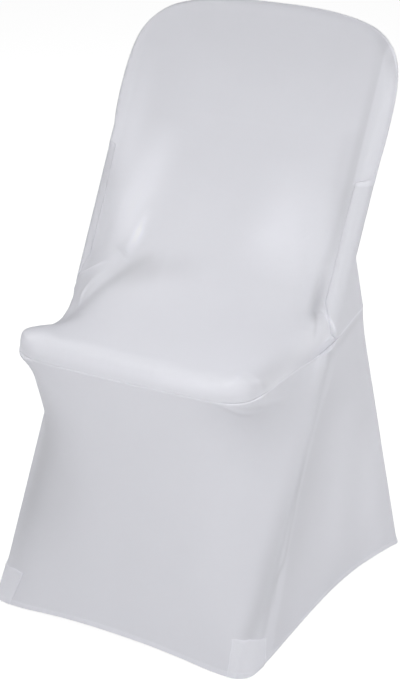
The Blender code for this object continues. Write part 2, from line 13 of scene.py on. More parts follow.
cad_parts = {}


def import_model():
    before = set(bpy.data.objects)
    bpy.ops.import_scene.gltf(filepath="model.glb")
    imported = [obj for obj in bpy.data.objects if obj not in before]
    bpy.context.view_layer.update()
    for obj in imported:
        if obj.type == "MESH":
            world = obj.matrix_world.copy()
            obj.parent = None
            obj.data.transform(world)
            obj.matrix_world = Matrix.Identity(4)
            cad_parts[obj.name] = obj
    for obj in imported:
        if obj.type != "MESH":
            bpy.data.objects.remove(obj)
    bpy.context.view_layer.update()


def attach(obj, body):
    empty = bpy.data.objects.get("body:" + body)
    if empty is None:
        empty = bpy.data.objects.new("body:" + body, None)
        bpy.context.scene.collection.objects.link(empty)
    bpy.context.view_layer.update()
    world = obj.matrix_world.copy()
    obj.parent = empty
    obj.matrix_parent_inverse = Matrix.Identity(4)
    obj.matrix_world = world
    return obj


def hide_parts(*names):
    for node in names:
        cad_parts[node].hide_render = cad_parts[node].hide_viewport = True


# Straight line that each side of the cover follows from the hood down to its front foot
RAIL_R = 0.0155
RAIL_FOOT_X = 0.2018
RAIL_SPREAD = 0.0076
RAIL_FOOT_Y = -0.2133
RAIL_SLOPE = 0.511
LEAN = atan(RAIL_SLOPE)

# Line of each rear corner, from the rear corner of the seat to the rear foot
REAR_TOP = np.array([0.2055, 0.0821, 0.430])
REAR_FOOT = np.array([0.2017, 0.2361, 0.0])
REAR_R = 0.0155

# Feet: how much wider the form is there, and the heights over which that fades
FRONT_FLARE = 0.0025
REAR_FLARE = 0.0050
FLARE_FULL_Z = 0.015
FLARE_END_Z = 0.060

# Web behind each side line, over which the cloth runs down to the rear corner of the seat
WEB_TOP_Z = 0.530
WEB_LOW = np.array([0.2052, 0.0890, 0.440])

# Seat pad under the cloth
SEAT_HALF_WIDTH = 0.2005
SEAT_FRONT_Y = -0.1995
SEAT_REAR_Y = 0.117
SEAT_CORNER_R = 0.047
SEAT_EDGE_R = 0.024
SEAT_LOW_EDGE_R = 0.013
SEAT_TOP_Z = 0.4235
SEAT_UNDER_Z = 0.374
SEAT_LEFT_STRETCH = 1.006

# Shoulders of the pad, which slope down to its sides behind the front corners
SHOULDER_START_X = 0.10
SHOULDER_START_Y = -0.170
SHOULDER_FULL_Y = -0.110
SHOULDER_DROP = 0.018

# Hood outline in its leaning plane: half width and height of its outer edge
HOOD_OUTLINE = [
    # half_width, height
    (0.0000, 0.8452), (0.0500, 0.8445), (0.1000, 0.8412), (0.1420, 0.8345), (0.1720, 0.8255),
    (0.1930, 0.8125), (0.2080, 0.7950), (0.2170, 0.7750), (0.2225, 0.7450), (0.2240, 0.7000),
    (0.2215, 0.6300), (0.2205, 0.5800), (0.2198, 0.4600), (0.2190, 0.3900),
]
HOOD_CORNER = (0.21, 0.806)
HOOD_LEFT_STRETCH = 1.012
HOOD_LEFT_STRETCH_HEIGHTS = [0.60, 0.70, 0.78, 0.83]

# Where the side seam sits round the hood's edge, in degrees: 0 is the outer side, 90 the front
SIDE_SEAM = [
    # height, right_angle, left_angle
    (0.846, 38, 24), (0.800, 30, 10), (0.770, 10, 5), (0.6330, 8, 5), (0.6230, 104, 100),
    (0.470, 106, 104), (0.415, 0, 0),
]
TOP_SEAM_SHIFT = 0.11
SIDE_SEAM_BEND = (0.219, 0.008)
HELD_ABOVE_Z = 0.55

# Seam at seat level, right half, from the middle of the back to the middle of the front
SEAT_SEAM = [
    # x, y, z
    (0.0000, 0.1180, 0.4480), (0.1000, 0.1170, 0.4475), (0.1800, 0.1140, 0.4460),
    (0.2060, 0.1060, 0.4510), (0.2190, 0.0930, 0.4490), (0.2225, 0.0650, 0.4440),
    (0.2225, 0.0350, 0.4345), (0.2190, 0.0110, 0.4235), (0.2085, -0.0190, 0.4085),
    (0.2015, -0.0600, 0.4015), (0.2008, -0.1150, 0.3990), (0.2000, -0.1530, 0.3955),
    (0.1865, -0.1855, 0.3895), (0.1530, -0.1995, 0.3870), (0.0800, -0.2010, 0.3862),
    (0.0000, -0.2015, 0.3858),
]
LEFT_SEAM_DROP = 0.009
LEFT_SEAM_LOW_Y = -0.060
LEFT_SEAM_LOW_REACH = 0.095
REAR_LEG_AT = 3
SIDE_SEAM_AT = 7
SIDE_SEAM_LOW_Z = SEAT_SEAM[SIDE_SEAM_AT][2]

# Hem, right half, from the middle of the back to the middle of the front
HEM = [
    # x, y, z
    (0.0000, 0.2470, 0.0150), (0.0900, 0.2490, 0.0135), (0.1700, 0.2530, 0.0100),
    (0.1990, 0.2550, 0.0085), (0.2120, 0.2520, 0.0090), (0.2200, 0.2410, 0.0120),
    (0.2225, 0.2240, 0.0165), (0.2232, 0.1950, 0.0215), (0.2236, 0.1467, 0.0282),
    (0.2229, 0.0868, 0.0330), (0.2221, 0.0149, 0.0315), (0.2213, -0.0537, 0.0227),
    (0.2206, -0.1200, 0.0115), (0.2200, -0.1673, 0.0030), (0.2202, -0.2000, 0.0000),
    (0.2190, -0.2230, 0.0000), (0.2110, -0.2345, 0.0000), (0.1960, -0.2385, 0.0000),
    (0.1650, -0.2380, 0.0005), (0.1150, -0.2370, 0.0055), (0.0600, -0.2360, 0.0095),
    (0.0000, -0.2350, 0.0110),
]
REAR_FOOT_AT = 4
FRONT_FOOT_AT = 16
LEFT_FOOT_RISE = 0.0050
LEFT_FOOT_BACK = 0.0060
LEFT_FOOT_IN = 0.0030

# Facets along and across the panels, and the finer steps that they are worked out with
FRONT_COLUMNS = 28
SIDE_COLUMNS = 7
REAR_COLUMNS = FRONT_COLUMNS - 2 * SIDE_COLUMNS
HOOD_ROWS = 16
SEAT_ROWS = 12
SKIRT_ROWS = 14
FINE = 4
PER_SPAN = 40
BLOCKS = 12
TIGHTEN_PASSES = [(4, 500), (2, 160), (1, 60)]
FIRST_LOOSE_SHARE = 0.72
EDGE_CROWDING = 0.35
SKIRT_CROWDING = 0.60
SKIRT_SPREAD = 5.2
FRONT_SPREAD = 0.46
SIDE_HEM_SHARES = [0, 0.035, 0.10, 0.24, 0.42, 0.62, 0.82, 1]
FRONT_HEM_SHARES = (0.25, 3.5)
SIDE_WIDTH = 0.27

# The cover hangs from under the top of its hood
MOUNT_Z = 0.8277
MOUNT = np.array([0.0, RAIL_FOOT_Y + RAIL_SLOPE * MOUNT_Z, MOUNT_Z])

UP_RAIL = np.array([0.0, sin(LEAN), cos(LEAN)])
FORWARD = np.array([0.0, -cos(LEAN), sin(LEAN)])
PLANE_BASE = np.array([0.0, RAIL_FOOT_Y, 0.0])


def unit(vectors):
    return vectors / np.maximum(np.linalg.norm(vectors, axis=-1, keepdims=True), 1e-12)


def column(table, number):
    return np.array([row[number] for row in table])


def mix(t, low, high, p, q):
    """What lies at t, where p is reached at low and q at high."""
    return (high - t) / (high - low) * p + (t - low) / (high - low) * q


def curve_through(points):
    """A smooth curve through the given points, with PER_SPAN steps between each two."""
    points = np.asarray(points, float)
    ends = np.vstack([2 * points[0] - points[1], points, 2 * points[-1] - points[-2]])
    knots = np.concatenate([[0], np.cumsum(np.linalg.norm(np.diff(ends, axis=0), axis=1) ** 0.5)])
    out = []
    for k in range(1, len(ends) - 2):
        t0, t1, t2, t3 = knots[k - 1:k + 3]
        p0, p1, p2, p3 = ends[k - 1:k + 3]
        t = np.linspace(t1, t2, PER_SPAN, endpoint=False)[:, None]
        middle = mix(t, t1, t2, p1, p2)
        before = mix(t, t0, t2, mix(t, t0, t1, p0, p1), middle)
        after = mix(t, t1, t3, middle, mix(t, t2, t3, p2, p3))
        out.append(mix(t, t1, t2, before, after))
    out.append(points[-1:])
    return np.vstack(out)


def nearest_index(points, line):
    """For each point, the number of the line's point nearest to it."""
    return np.concatenate([((block[:, None] - line[None]) ** 2).sum(2).argmin(1)
                           for block in np.array_split(points, BLOCKS)])


def lengths(line):
    return np.concatenate([[0], np.cumsum(np.linalg.norm(np.diff(line, axis=0), axis=1))])


def along(line, fractions):
    """Points at the given fractions of a line's length."""
    at = lengths(line)
    where = np.asarray(fractions) * at[-1]
    return np.stack([np.interp(where, at, line[:, k]) for k in range(line.shape[1])], axis=1)


def spread(steps, crowding):
    """Fractions from 0 to 1 in fine steps, closer together near both ends."""
    t = np.linspace(0, 1, steps * FINE + 1)
    return t - crowding * np.sin(2 * pi * t) / (2 * pi)


def even(steps):
    return np.linspace(0, 1, steps * FINE + 1)


def rail_x(z):
    return RAIL_FOOT_X + RAIL_SPREAD * z


def rail_y(z):
    return RAIL_FOOT_Y + RAIL_SLOPE * z


# Outline of the hood and the two loops of seams and hems

def hood_edge():
    """The outer edge of the hood from low on the left over the top to low on the right."""
    right = curve_through([(w, z / cos(LEAN)) for w, z in HOOD_OUTLINE])
    height = right[:, 1] * cos(LEAN)
    share = np.interp(height, HOOD_LEFT_STRETCH_HEIGHTS, [0, 1, 1, 0])
    stretch = 1 + (HOOD_LEFT_STRETCH - 1) * share
    left = np.stack([-right[:, 0] * stretch, right[:, 1]], axis=1)[::-1]
    return np.vstack([left, right[1:]])


EDGE = hood_edge()
EDGE_OUT = unit(np.stack([-np.gradient(EDGE[:, 1]), np.gradient(EDGE[:, 0])], axis=1))
EDGE_CENTRE = EDGE - RAIL_R * EDGE_OUT


def seam_angles():
    """Angle of the top and side seam, for every point of the hood's edge."""
    height = EDGE[:, 1] * cos(LEAN)
    heights = column(SIDE_SEAM, 0)[::-1]
    right = np.interp(height, heights, column(SIDE_SEAM, 1)[::-1])
    left = np.interp(height, heights, column(SIDE_SEAM, 2)[::-1])
    share = np.clip(EDGE[:, 0] / TOP_SEAM_SHIFT / 2 + 0.5, 0, 1)
    return np.radians(share * right + (1 - share) * left)


def from_plane(flat, forward):
    """Points of the leaning plane, as x and the distance up it, moved forward."""
    forward = np.broadcast_to(forward, flat.shape[:-1])[..., None]
    across = flat[..., :1] * np.array([1.0, 0.0, 0.0])
    return PLANE_BASE + across + flat[..., 1:2] * UP_RAIL + forward * FORWARD


def closed_loop(table, left_of):
    """A smooth loop from the rows of a right half and the function that makes the left half."""
    left = [left_of(*row) for row in table[::-1]]
    return curve_through(list(table) + left[1:])


def left_of_seat(x, y, z):
    beside_pad = np.clip(1 - abs(y - LEFT_SEAM_LOW_Y) / LEFT_SEAM_LOW_REACH, 0, 1)
    return (-x * SEAT_LEFT_STRETCH, y, z - LEFT_SEAM_DROP * beside_pad)


def left_of_hem(x, y, z):
    near_foot = np.clip(-y / 0.2, 0, 1) * np.clip(x / 0.2, 0, 1)
    return (-x + LEFT_FOOT_IN * near_foot,
            y + LEFT_FOOT_BACK * near_foot,
            z + LEFT_FOOT_RISE * near_foot)


SEAM_LOOP = closed_loop(SEAT_SEAM, left_of_seat)
HEM_LOOP = closed_loop(HEM, left_of_hem)
LAST_SEAM = 2 * (len(SEAT_SEAM) - 1)
LAST_HEM = 2 * (len(HEM) - 1)


def stretch_of(loop, start, end, fractions):
    """Points at the given fractions of a loop's stretch from one of its table rows to another."""
    step = 1 if end > start else -1
    places = np.arange(start * PER_SPAN, end * PER_SPAN + step, step)
    return along(np.take(loop[:-1], places, axis=0, mode="wrap"), fractions)


# Form that the sheets stay clear of

def shoulder_drop(points):
    """How far the pad's top lies under its full height at each point."""
    beside = (np.abs(points[:, 0]) - SHOULDER_START_X) / (SEAT_HALF_WIDTH - SHOULDER_START_X)
    behind = (points[:, 1] - SHOULDER_START_Y) / (SHOULDER_FULL_Y - SHOULDER_START_Y)
    drop = SHOULDER_DROP * np.clip(beside, 0, 1) ** 2 * np.clip(behind, 0, 1)
    return drop[:, None] * np.array([0.0, 0.0, 1.0])


def clear_of_seat(points):
    """Push points off the seat pad, a slab with round corners, a rolled edge and low shoulders."""
    drop = shoulder_drop(points)
    points = points + drop
    middle = np.array([0.0, (SEAT_REAR_Y + SEAT_FRONT_Y) / 2, (SEAT_TOP_Z + SEAT_UNDER_Z) / 2])
    half = np.array([SEAT_HALF_WIDTH, (SEAT_REAR_Y - SEAT_FRONT_Y) / 2,
                     (SEAT_TOP_Z - SEAT_UNDER_Z) / 2])
    sign = np.where(points < middle, -1.0, 1.0)
    wider = np.where(points[:, :1] < 0, [SEAT_LEFT_STRETCH, 1.0, 1.0], 1.0)
    local = np.abs(points - middle) / wider
    past = local[:, :2] - half[:2] + SEAT_CORNER_R
    corner = np.linalg.norm(np.maximum(past, 0), axis=1)
    inside = corner == 0
    plan = np.where(inside, past.max(axis=1), corner) - SEAT_CORNER_R
    nearest_side = np.eye(2)[past.argmax(axis=1)]
    round_corner = np.maximum(past, 0) / np.maximum(corner, 1e-9)[:, None]
    out = np.where(inside[:, None], nearest_side, round_corner)
    edge = np.where(points[:, 2] < middle[2], SEAT_LOW_EDGE_R, SEAT_EDGE_R)
    flat = plan + edge
    rise = local[:, 2] - half[2] + edge
    roll = np.hypot(np.maximum(flat, 0), np.maximum(rise, 0))
    deep = roll == 0
    depth = np.where(deep, np.maximum(flat, rise), roll) - edge
    flat_share = np.where(deep, flat > rise, np.maximum(flat, 0) / np.maximum(roll, 1e-9))
    rise_share = np.where(deep, flat <= rise, np.maximum(rise, 0) / np.maximum(roll, 1e-9))
    step = np.column_stack([out * flat_share[:, None], rise_share]) * sign
    return points + np.maximum(-depth, 0)[:, None] * step - drop


def clear_of_front_form(points):
    """Keep points of the front ahead of the side lines and above the seat pad."""
    forward = (points - PLANE_BASE) @ FORWARD
    beside = np.clip(np.abs(points[:, 0]) - rail_x(points[:, 2]), 0, RAIL_R)
    least = np.sqrt(RAIL_R ** 2 - beside ** 2)
    held = (points[:, 2] > HELD_ABOVE_Z) | (beside > 0)
    lift = np.where(held, np.maximum(least - forward, 0), 0)
    return clear_of_seat(points + lift[:, None] * FORWARD)


def clear_of_back_form(points):
    """Push points off the side lines and the webs behind them, in plan at each point's height."""
    squash = np.array([1.0, cos(LEAN)])
    side = np.where(points[:, 0] < 0, -1.0, 1.0)
    local = np.stack([np.abs(points[:, 0]), points[:, 1]], axis=1) * squash
    z = points[:, 2]
    share = np.maximum((WEB_TOP_Z - z) / (WEB_TOP_Z - WEB_LOW[2]), 0)[:, None]
    rail_low = np.array([rail_x(WEB_LOW[2]), rail_y(WEB_LOW[2])])
    near = np.stack([rail_x(z), rail_y(z)], axis=1) * squash
    run = share * (WEB_LOW[:2] - rail_low) * squash
    along_run = ((local - near) * run).sum(1) / np.maximum((run * run).sum(1), 1e-12)
    middle = near + np.clip(along_run, 0, 1)[:, None] * run
    away = local - middle
    reach = np.linalg.norm(away, axis=1, keepdims=True)
    pushed = middle + away * RAIL_R / np.maximum(reach, 1e-9)
    local = np.where(reach < RAIL_R, pushed, local) / squash
    return np.column_stack([local[:, 0] * side, local[:, 1], z])


def flare(z):
    return np.clip((FLARE_END_Z - z) / (FLARE_END_Z - FLARE_FULL_Z), 0, 1)


def clear_of_legs(points):
    """Keep points outside the straight-sided hull of the four corner lines at their own height."""
    z = np.clip(points[:, 2], 0, REAR_TOP[2])
    share = (z / REAR_TOP[2])[:, None]
    front = np.stack([rail_x(z), rail_y(z)], axis=1)
    rear = REAR_FOOT[:2] * (1 - share) + REAR_TOP[:2] * share
    centre_line = np.array([0.0, 1.0])
    corners = [front * centre_line, front, rear, rear * centre_line]
    side = np.where(points[:, 0] < 0, -1.0, 1.0)
    local = np.stack([np.abs(points[:, 0]), points[:, 1]], axis=1)
    best = np.full(len(points), np.inf)
    foot = local.copy()
    out = np.zeros_like(local)
    inside = np.ones(len(points), bool)
    for start, end in zip(corners[:-1], corners[1:]):
        run = end - start
        normal = unit(np.stack([run[:, 1], -run[:, 0]], axis=1))
        inside &= ((local - start) * normal).sum(1) < 0
        t = np.clip(((local - start) * run).sum(1) / (run * run).sum(1), 0, 1)
        near = start + t[:, None] * run
        gap = np.linalg.norm(local - near, axis=1)
        closer = gap < best
        best = np.where(closer, gap, best)
        foot = np.where(closer[:, None], near, foot)
        out = np.where(closer[:, None], normal, out)
    ahead = np.clip((foot[:, 1] - front[:, 1]) / (rear[:, 1] - front[:, 1]), 0, 1)
    radius = ((RAIL_R + FRONT_FLARE * flare(z)) * (1 - ahead)
              + (REAR_R + REAR_FLARE * flare(z)) * ahead)
    outward = np.where((inside | (best < 1e-6))[:, None], out, unit(local - foot))
    pushed = foot + radius[:, None] * outward
    hit = inside | (best < radius)
    local = np.where(hit[:, None], pushed, local)
    return np.column_stack([local[:, 0] * side, local[:, 1], points[:, 2]])


def clear_of_skirt_form(points):
    return clear_of_seat(clear_of_legs(points))


# Sheets

def wrap(flat, facing):
    """Lay a flat sheet on the hood: straight inside and curled round its rim.

    Facing is 1 for the front and -1 for the back. The flat sheet lies in the leaning plane and
    sticks out past the rim's centre line by the length that curls round it.
    """
    points = flat.reshape(-1, 2)
    near = nearest_index(points, EDGE_CENTRE)
    centre = EDGE_CENTRE[near]
    out = EDGE_OUT[near]
    beyond = ((points - centre) * out).sum(1)
    curl = np.maximum(beyond, 0) / RAIL_R
    laid = np.where((beyond > 0)[:, None], centre + RAIL_R * np.sin(curl)[:, None] * out, points)
    forward = facing * np.where(beyond > 0, RAIL_R * np.cos(curl), RAIL_R)
    return from_plane(laid, forward).reshape(*flat.shape[:-1], 3)


def between(top, bottom, left, right, across, down):
    """A sheet that joins four edges, by blending them over the two lists of fractions."""
    u = np.asarray(across)[None, :, None]
    v = np.asarray(down)[:, None, None]
    sides = (1 - u) * left[:, None] + u * right[:, None]
    ends = (1 - v) * top[None] + v * bottom[None]
    corners = ((1 - u) * (1 - v) * top[0] + u * (1 - v) * top[-1]
               + (1 - u) * v * bottom[0] + u * v * bottom[-1])
    return sides + ends - corners


def read_at(grid, rows, columns):
    """A grid of values read evenly at fractional rows and columns."""
    low_row = np.minimum(rows.astype(int), grid.shape[0] - 2)
    low_column = np.minimum(columns.astype(int), grid.shape[1] - 2)
    v = (rows - low_row)[..., None]
    u = (columns - low_column)[..., None]
    left, right = (grid[low_row, at] * (1 - v) + grid[low_row + 1, at] * v
                   for at in (low_column, low_column + 1))
    return left * (1 - u) + right * u


def refined(coarse, shape):
    """A grid of values filled in evenly to a finer grid."""
    rows, columns = (np.linspace(0, old - 1, new) for old, new in zip(coarse.shape, shape[:2]))
    return read_at(coarse, rows[:, None], columns[None])


def settle(sheet, across, down, clear, sweeps, first_row):
    """Move every inner point towards the middle of its neighbours, over and over."""
    du, dv = np.diff(across), np.diff(down)
    cell_u = (du[:-1] + du[1:])[None, :, None] / 2
    cell_v = (dv[:-1] + dv[1:])[:, None, None] / 2
    left, right = (cell_v / step[None, :, None] for step in (du[:-1], du[1:]))
    up, low = (cell_u / step[:, None, None] for step in (dv[:-1], dv[1:]))
    total = left + right + up + low
    for _ in range(sweeps):
        middle = (left * sheet[1:-1, :-2] + right * sheet[1:-1, 2:]
                  + up * sheet[:-2, 1:-1] + low * sheet[2:, 1:-1]) / total
        moved = middle[first_row - 1:]
        sheet[first_row:-1, 1:-1] = clear(moved.reshape(-1, 3)).reshape(moved.shape)


def tighten(sheet, across, down, clear, first_row=1):
    """Pull a sheet smooth between its fixed edges while it stays clear of the form under it.

    It is worked out from the facets' own grid to the fine one, and each pass adds to the last.
    """
    for step, sweeps in TIGHTEN_PASSES:
        coarse = sheet[::step, ::step].copy()
        settle(coarse, across[::step], down[::step], clear, sweeps, max(first_row // step, 1))
        sheet = sheet + refined(coarse - sheet[::step, ::step], sheet.shape)
    return sheet


def edge_index(x, height):
    """The hood edge's point nearest to a place given by its x and height."""
    return int(nearest_index(np.array([[x, height / cos(LEAN)]]), EDGE)[0])


def corner_indices():
    """The hood edge's points at its two upper corners, where the top seam meets the side seams."""
    right = edge_index(*HOOD_CORNER)
    return len(EDGE) - 1 - right, right


def low_index(side):
    """The hood edge's last point before its side seam bends off to the seam at seat level."""
    return edge_index(side * SIDE_SEAM_BEND[0], SIDE_SEAM_LOW_Z + SIDE_SEAM_BEND[1])


def side_line(values, joint, side):
    """Values down one side of the hood's edge, from its upper corner to the seam at seat level."""
    corner = corner_indices()[0 if side < 0 else 1]
    index = np.arange(corner, low_index(side), side)
    return np.vstack([values[index], joint[None]])


def hood_sheet(facing, seam, flat_seam, across, seam_sides):
    """The part of the front or back that lies flat on the hood, down to HOOD_ROWS."""
    left_corner, right_corner = corner_indices()
    top_edge = slice(left_corner, right_corner + 1)
    flat_top = along(flat_seam[top_edge], across)
    down = even(HOOD_ROWS)
    share = HOOD_ROWS / (HOOD_ROWS + SEAT_ROWS)
    flat_sides = {side: along(side_line(flat_seam, flat_seam[low_index(side)], side), down * share)
                  for side in (-1, 1)}
    flat_bottom = flat_sides[-1][-1] + (flat_sides[1][-1] - flat_sides[-1][-1]) * across[:, None]
    hood = wrap(between(flat_top, flat_bottom, flat_sides[-1], flat_sides[1], across, down), facing)
    hood[0] = along(seam[top_edge], across)
    hood[:, 0] = seam_sides[-1][:len(down)]
    hood[:, -1] = seam_sides[1][:len(down)]
    return hood


def seat_seam_points(across):
    """The seam at seat level as the panels share it: left side, front, right side and back."""
    side, left_at = even(SIDE_COLUMNS), LAST_SEAM - SIDE_SEAM_AT
    return {"front": stretch_of(SEAM_LOOP, left_at, SIDE_SEAM_AT, across),
            "left": stretch_of(SEAM_LOOP, left_at, LAST_SEAM - REAR_LEG_AT, side),
            "right": stretch_of(SEAM_LOOP, REAR_LEG_AT, SIDE_SEAM_AT, side),
            "back": stretch_of(SEAM_LOOP, -REAR_LEG_AT, REAR_LEG_AT, even(REAR_COLUMNS))}


def upper_sheets(across, seat_seam):
    """The front and the back, each with its part of the hood and its part of the seat."""
    angle = seam_angles()[:, None]
    seam = from_plane(EDGE_CENTRE + RAIL_R * np.cos(angle) * EDGE_OUT, RAIL_R * np.sin(angle[:, 0]))
    joints = {-1: seat_seam["front"][0], 1: seat_seam["front"][-1]}
    down = even(HOOD_ROWS + SEAT_ROWS)
    seam_sides = {side: along(side_line(seam, joints[side], side), down) for side in (-1, 1)}
    bottoms = {1: seat_seam["front"],
               -1: np.vstack([seat_seam["left"], seat_seam["back"][1:], seat_seam["right"][1:]])}
    clear = {1: clear_of_front_form, -1: clear_of_back_form}
    split = HOOD_ROWS * FINE
    sheets = {}
    for facing in (1, -1):
        flat_seam = EDGE_CENTRE + RAIL_R * (pi / 2 - facing * angle) * EDGE_OUT
        hood = hood_sheet(facing, seam, flat_seam, across, seam_sides)
        lower = between(hood[-1], bottoms[facing], seam_sides[-1][split:], seam_sides[1][split:],
                        across, even(SEAT_ROWS))
        whole = np.vstack([hood[:-1], lower])
        spread_out = across * (FRONT_SPREAD if facing > 0 else 1.0)
        sheets[facing] = tighten(whole, spread_out, down, clear[facing],
                                 int(split * FIRST_LOOSE_SHARE))
    return sheets[1], sheets[-1]


def lower_sheets(across, seat_seam):
    """The skirt: one piece round the front and both sides, and one across the back."""
    down = spread(SKIRT_ROWS, SKIRT_CROWDING)
    toward_middle = np.minimum(across, 1 - across) * 2
    even_share, crowding = FRONT_HEM_SHARES
    front_share = 0.5 * (even_share * toward_middle + (1 - even_share) * toward_middle ** crowding)
    front_share = np.where(across > 0.5, 1 - front_share, front_share)
    side = even(SIDE_COLUMNS)
    side_share = np.interp(side, np.linspace(0, 1, SIDE_COLUMNS + 1), SIDE_HEM_SHARES)
    left_foot_at = LAST_HEM - FRONT_FOOT_AT
    hem_right = stretch_of(HEM_LOOP, FRONT_FOOT_AT, REAR_FOOT_AT, side_share)
    hem_front = stretch_of(HEM_LOOP, left_foot_at, FRONT_FOOT_AT, front_share)
    hem_left = stretch_of(HEM_LOOP, left_foot_at, LAST_HEM - REAR_FOOT_AT, side_share)
    hem_back = stretch_of(HEM_LOOP, -REAR_FOOT_AT, REAR_FOOT_AT, even(REAR_COLUMNS))
    top = np.vstack([seat_seam["left"][::-1], seat_seam["front"][1:], seat_seam["right"][::-1][1:]])
    bottom = np.vstack([hem_left[::-1], hem_front[1:], hem_right[1:]])
    leg_seams = [clear_of_legs(high + (low - high) * down[:, None])
                 for high, low in ((seat_seam["back"][0], hem_back[0]),
                                   (seat_seam["back"][-1], hem_back[-1]))]
    for line, ends in zip(leg_seams, ((top[0], bottom[0]), (top[-1], bottom[-1]))):
        line[0], line[-1] = ends
    across_wrap = np.concatenate([side * SIDE_WIDTH, SIDE_WIDTH + (1 - 2 * SIDE_WIDTH) * across[1:],
                                  1 - SIDE_WIDTH + side[1:] * SIDE_WIDTH])
    skirt = between(top, bottom, *leg_seams, across_wrap, down)
    skirt = tighten(skirt, across_wrap * SKIRT_SPREAD, down, clear_of_skirt_form)
    back = between(seat_seam["back"], hem_back, *leg_seams, even(REAR_COLUMNS), down)
    back = tighten(back, even(REAR_COLUMNS), down, clear_of_legs)
    return skirt, back


def build_sheets():
    """The four panels as fine grids of points on their outer faces."""
    across = spread(FRONT_COLUMNS, EDGE_CROWDING)
    seat_seam = seat_seam_points(across)
    front, back = upper_sheets(across, seat_seam)
    skirt, skirt_back = lower_sheets(across, seat_seam)
    return {"front_panel": front, "back_panel": back, "skirt_wrap": skirt, "skirt_back": skirt_back}


# Sheets that show. Their facets crowd to seams, hems and folds, each crowd given as its place along
# the sheet from 0 to 1, its reach, and how much closer the facets lie.
CLOTH = 0.0010
UPPER_ROWS = [(0, 0.012, 3.0), (0.472, 0.006, 2.5), (0.90, 0.10, 0.9), (1, 0.012, 3.0)]
UPPER_COLUMNS = [(0, 0.03, 1.2), (1, 0.03, 1.2)]
SKIRT_CROWDS = [(0, 0.02, 2.0), (1, 0.04, 2.5)]
PANELS = {
    # name: rows, columns, outward sign, crowds of rows, crowds of columns
    "front_panel": (256, 184, 1, UPPER_ROWS, UPPER_COLUMNS),
    "back_panel": (256, 150, -1, UPPER_ROWS, UPPER_COLUMNS),
    "skirt_wrap": (118, 396, 1, SKIRT_CROWDS,
                   [(0, 0.006, 2.0), (0.165, 0.03, 0.9), (0.835, 0.04, 1.4), (1, 0.006, 2.0)]),
    "skirt_back": (130, 150, -1, SKIRT_CROWDS, [(0, 0.02, 1.5), (1, 0.02, 1.5)]),
}


def crowded(steps, count, crowds):
    """Fractional places along count lines, closer together at the given crowds."""
    t = np.linspace(0, 1, 4001)
    density = 1 + sum(extra * np.exp(-((t - at) / reach) ** 2) for at, reach, extra in crowds)
    total = np.concatenate([[0], np.cumsum(density[1:] + density[:-1])])
    return np.interp(np.linspace(0, total[-1], steps + 1), total, t) * (count - 1)


def cubic_weights(where, count):
    """Weights that read a smooth line through count values at fractional places along it."""
    where = np.clip(where, 0, count - 1)
    low = np.minimum(where.astype(int), count - 2)
    t = where - low
    shares = [(-t + 2 * t ** 2 - t ** 3) / 2, (2 - 5 * t ** 2 + 3 * t ** 3) / 2,
              (t + 4 * t ** 2 - 3 * t ** 3) / 2, (-t ** 2 + t ** 3) / 2]
    weights = np.zeros((len(where), count))
    rows = np.arange(len(where))
    for shift, share in zip((-1, 0, 1, 2), shares):
        at = low + shift
        inner = np.clip(at, 0, count - 1)
        np.add.at(weights, (rows, inner), share)
        past = at != inner
        beyond = np.where(at < 0, 1, count - 2)
        np.add.at(weights, (rows[past], inner[past]), share[past])
        np.add.at(weights, (rows[past], beyond[past]), -share[past])
    return weights


def read_grid(grid, rows, columns):
    """A grid of points read at fractional rows and columns."""
    by_row = np.tensordot(cubic_weights(rows, grid.shape[0]), grid, axes=(1, 0))
    by_column = np.tensordot(cubic_weights(columns, grid.shape[1]), by_row, axes=(1, 1))
    return np.moveaxis(by_column, 0, 1)


def grid_normals(grid, outward):
    """Unit normals at a grid's points."""
    down = np.gradient(grid, axis=0)
    across = np.gradient(grid, axis=1)
    return unit(np.cross(down, across)) * outward


def soft_step(value):
    value = np.clip(value, 0, 1)
    return value * value * (3 - 2 * value)


def bell(value):
    return np.exp(-value ** 2)


def edge_distance(grid, axis, from_end):
    """Distance of each point from the grid's first or last row or column."""
    steps = np.linalg.norm(np.diff(grid, axis=axis), axis=2)
    zero = np.zeros_like(np.take(steps, [0], axis=axis))
    if from_end:
        steps = np.flip(steps, axis=axis)
    total = np.concatenate([zero, np.cumsum(steps, axis=axis)], axis=axis)
    return np.flip(total, axis=axis) if from_end else total


def upper_edges(grid):
    """Distance of each point from the grid's top edge and its two sides."""
    return [edge_distance(grid, *edge) for edge in ((0, False), (1, False), (1, True))]


# Seams, hems and doubled strips: the sizes of their relief, how much lighter double cloth is, and
# the painted highlights along the seams and on the right strip
SEAM_RIDGE = 0.00045
SEAM_RIDGE_AT = 0.0019
SEAM_RIDGE_WIDTH = 0.0012
RELIEF_RISE = 0.004
SEAM_HIGHLIGHT = 0.130
SIDE_SEAM_HIGHLIGHT = 0.020
SEAM_HIGHLIGHT_WIDTH = 0.0015
HEM_WIDTH = 0.0075
HEM_THICK = 0.0005
HEM_EDGE = 0.0012
HEM_LIGHT = 0.060
STRIP_INNER_X = 0.196
STRIP_FADE = 0.005
STRIP_LOW_Z = -0.2015
STRIP_EDGE = 0.0014
STRIP_THICK = 0.0005
STRIP_DOUBLING_AND_SHEEN = {-1: 0.020, 1: 0.100}
KEEP_FLAT = 0.0045
LINE_STEP = 4
FOLD_REACH = 3


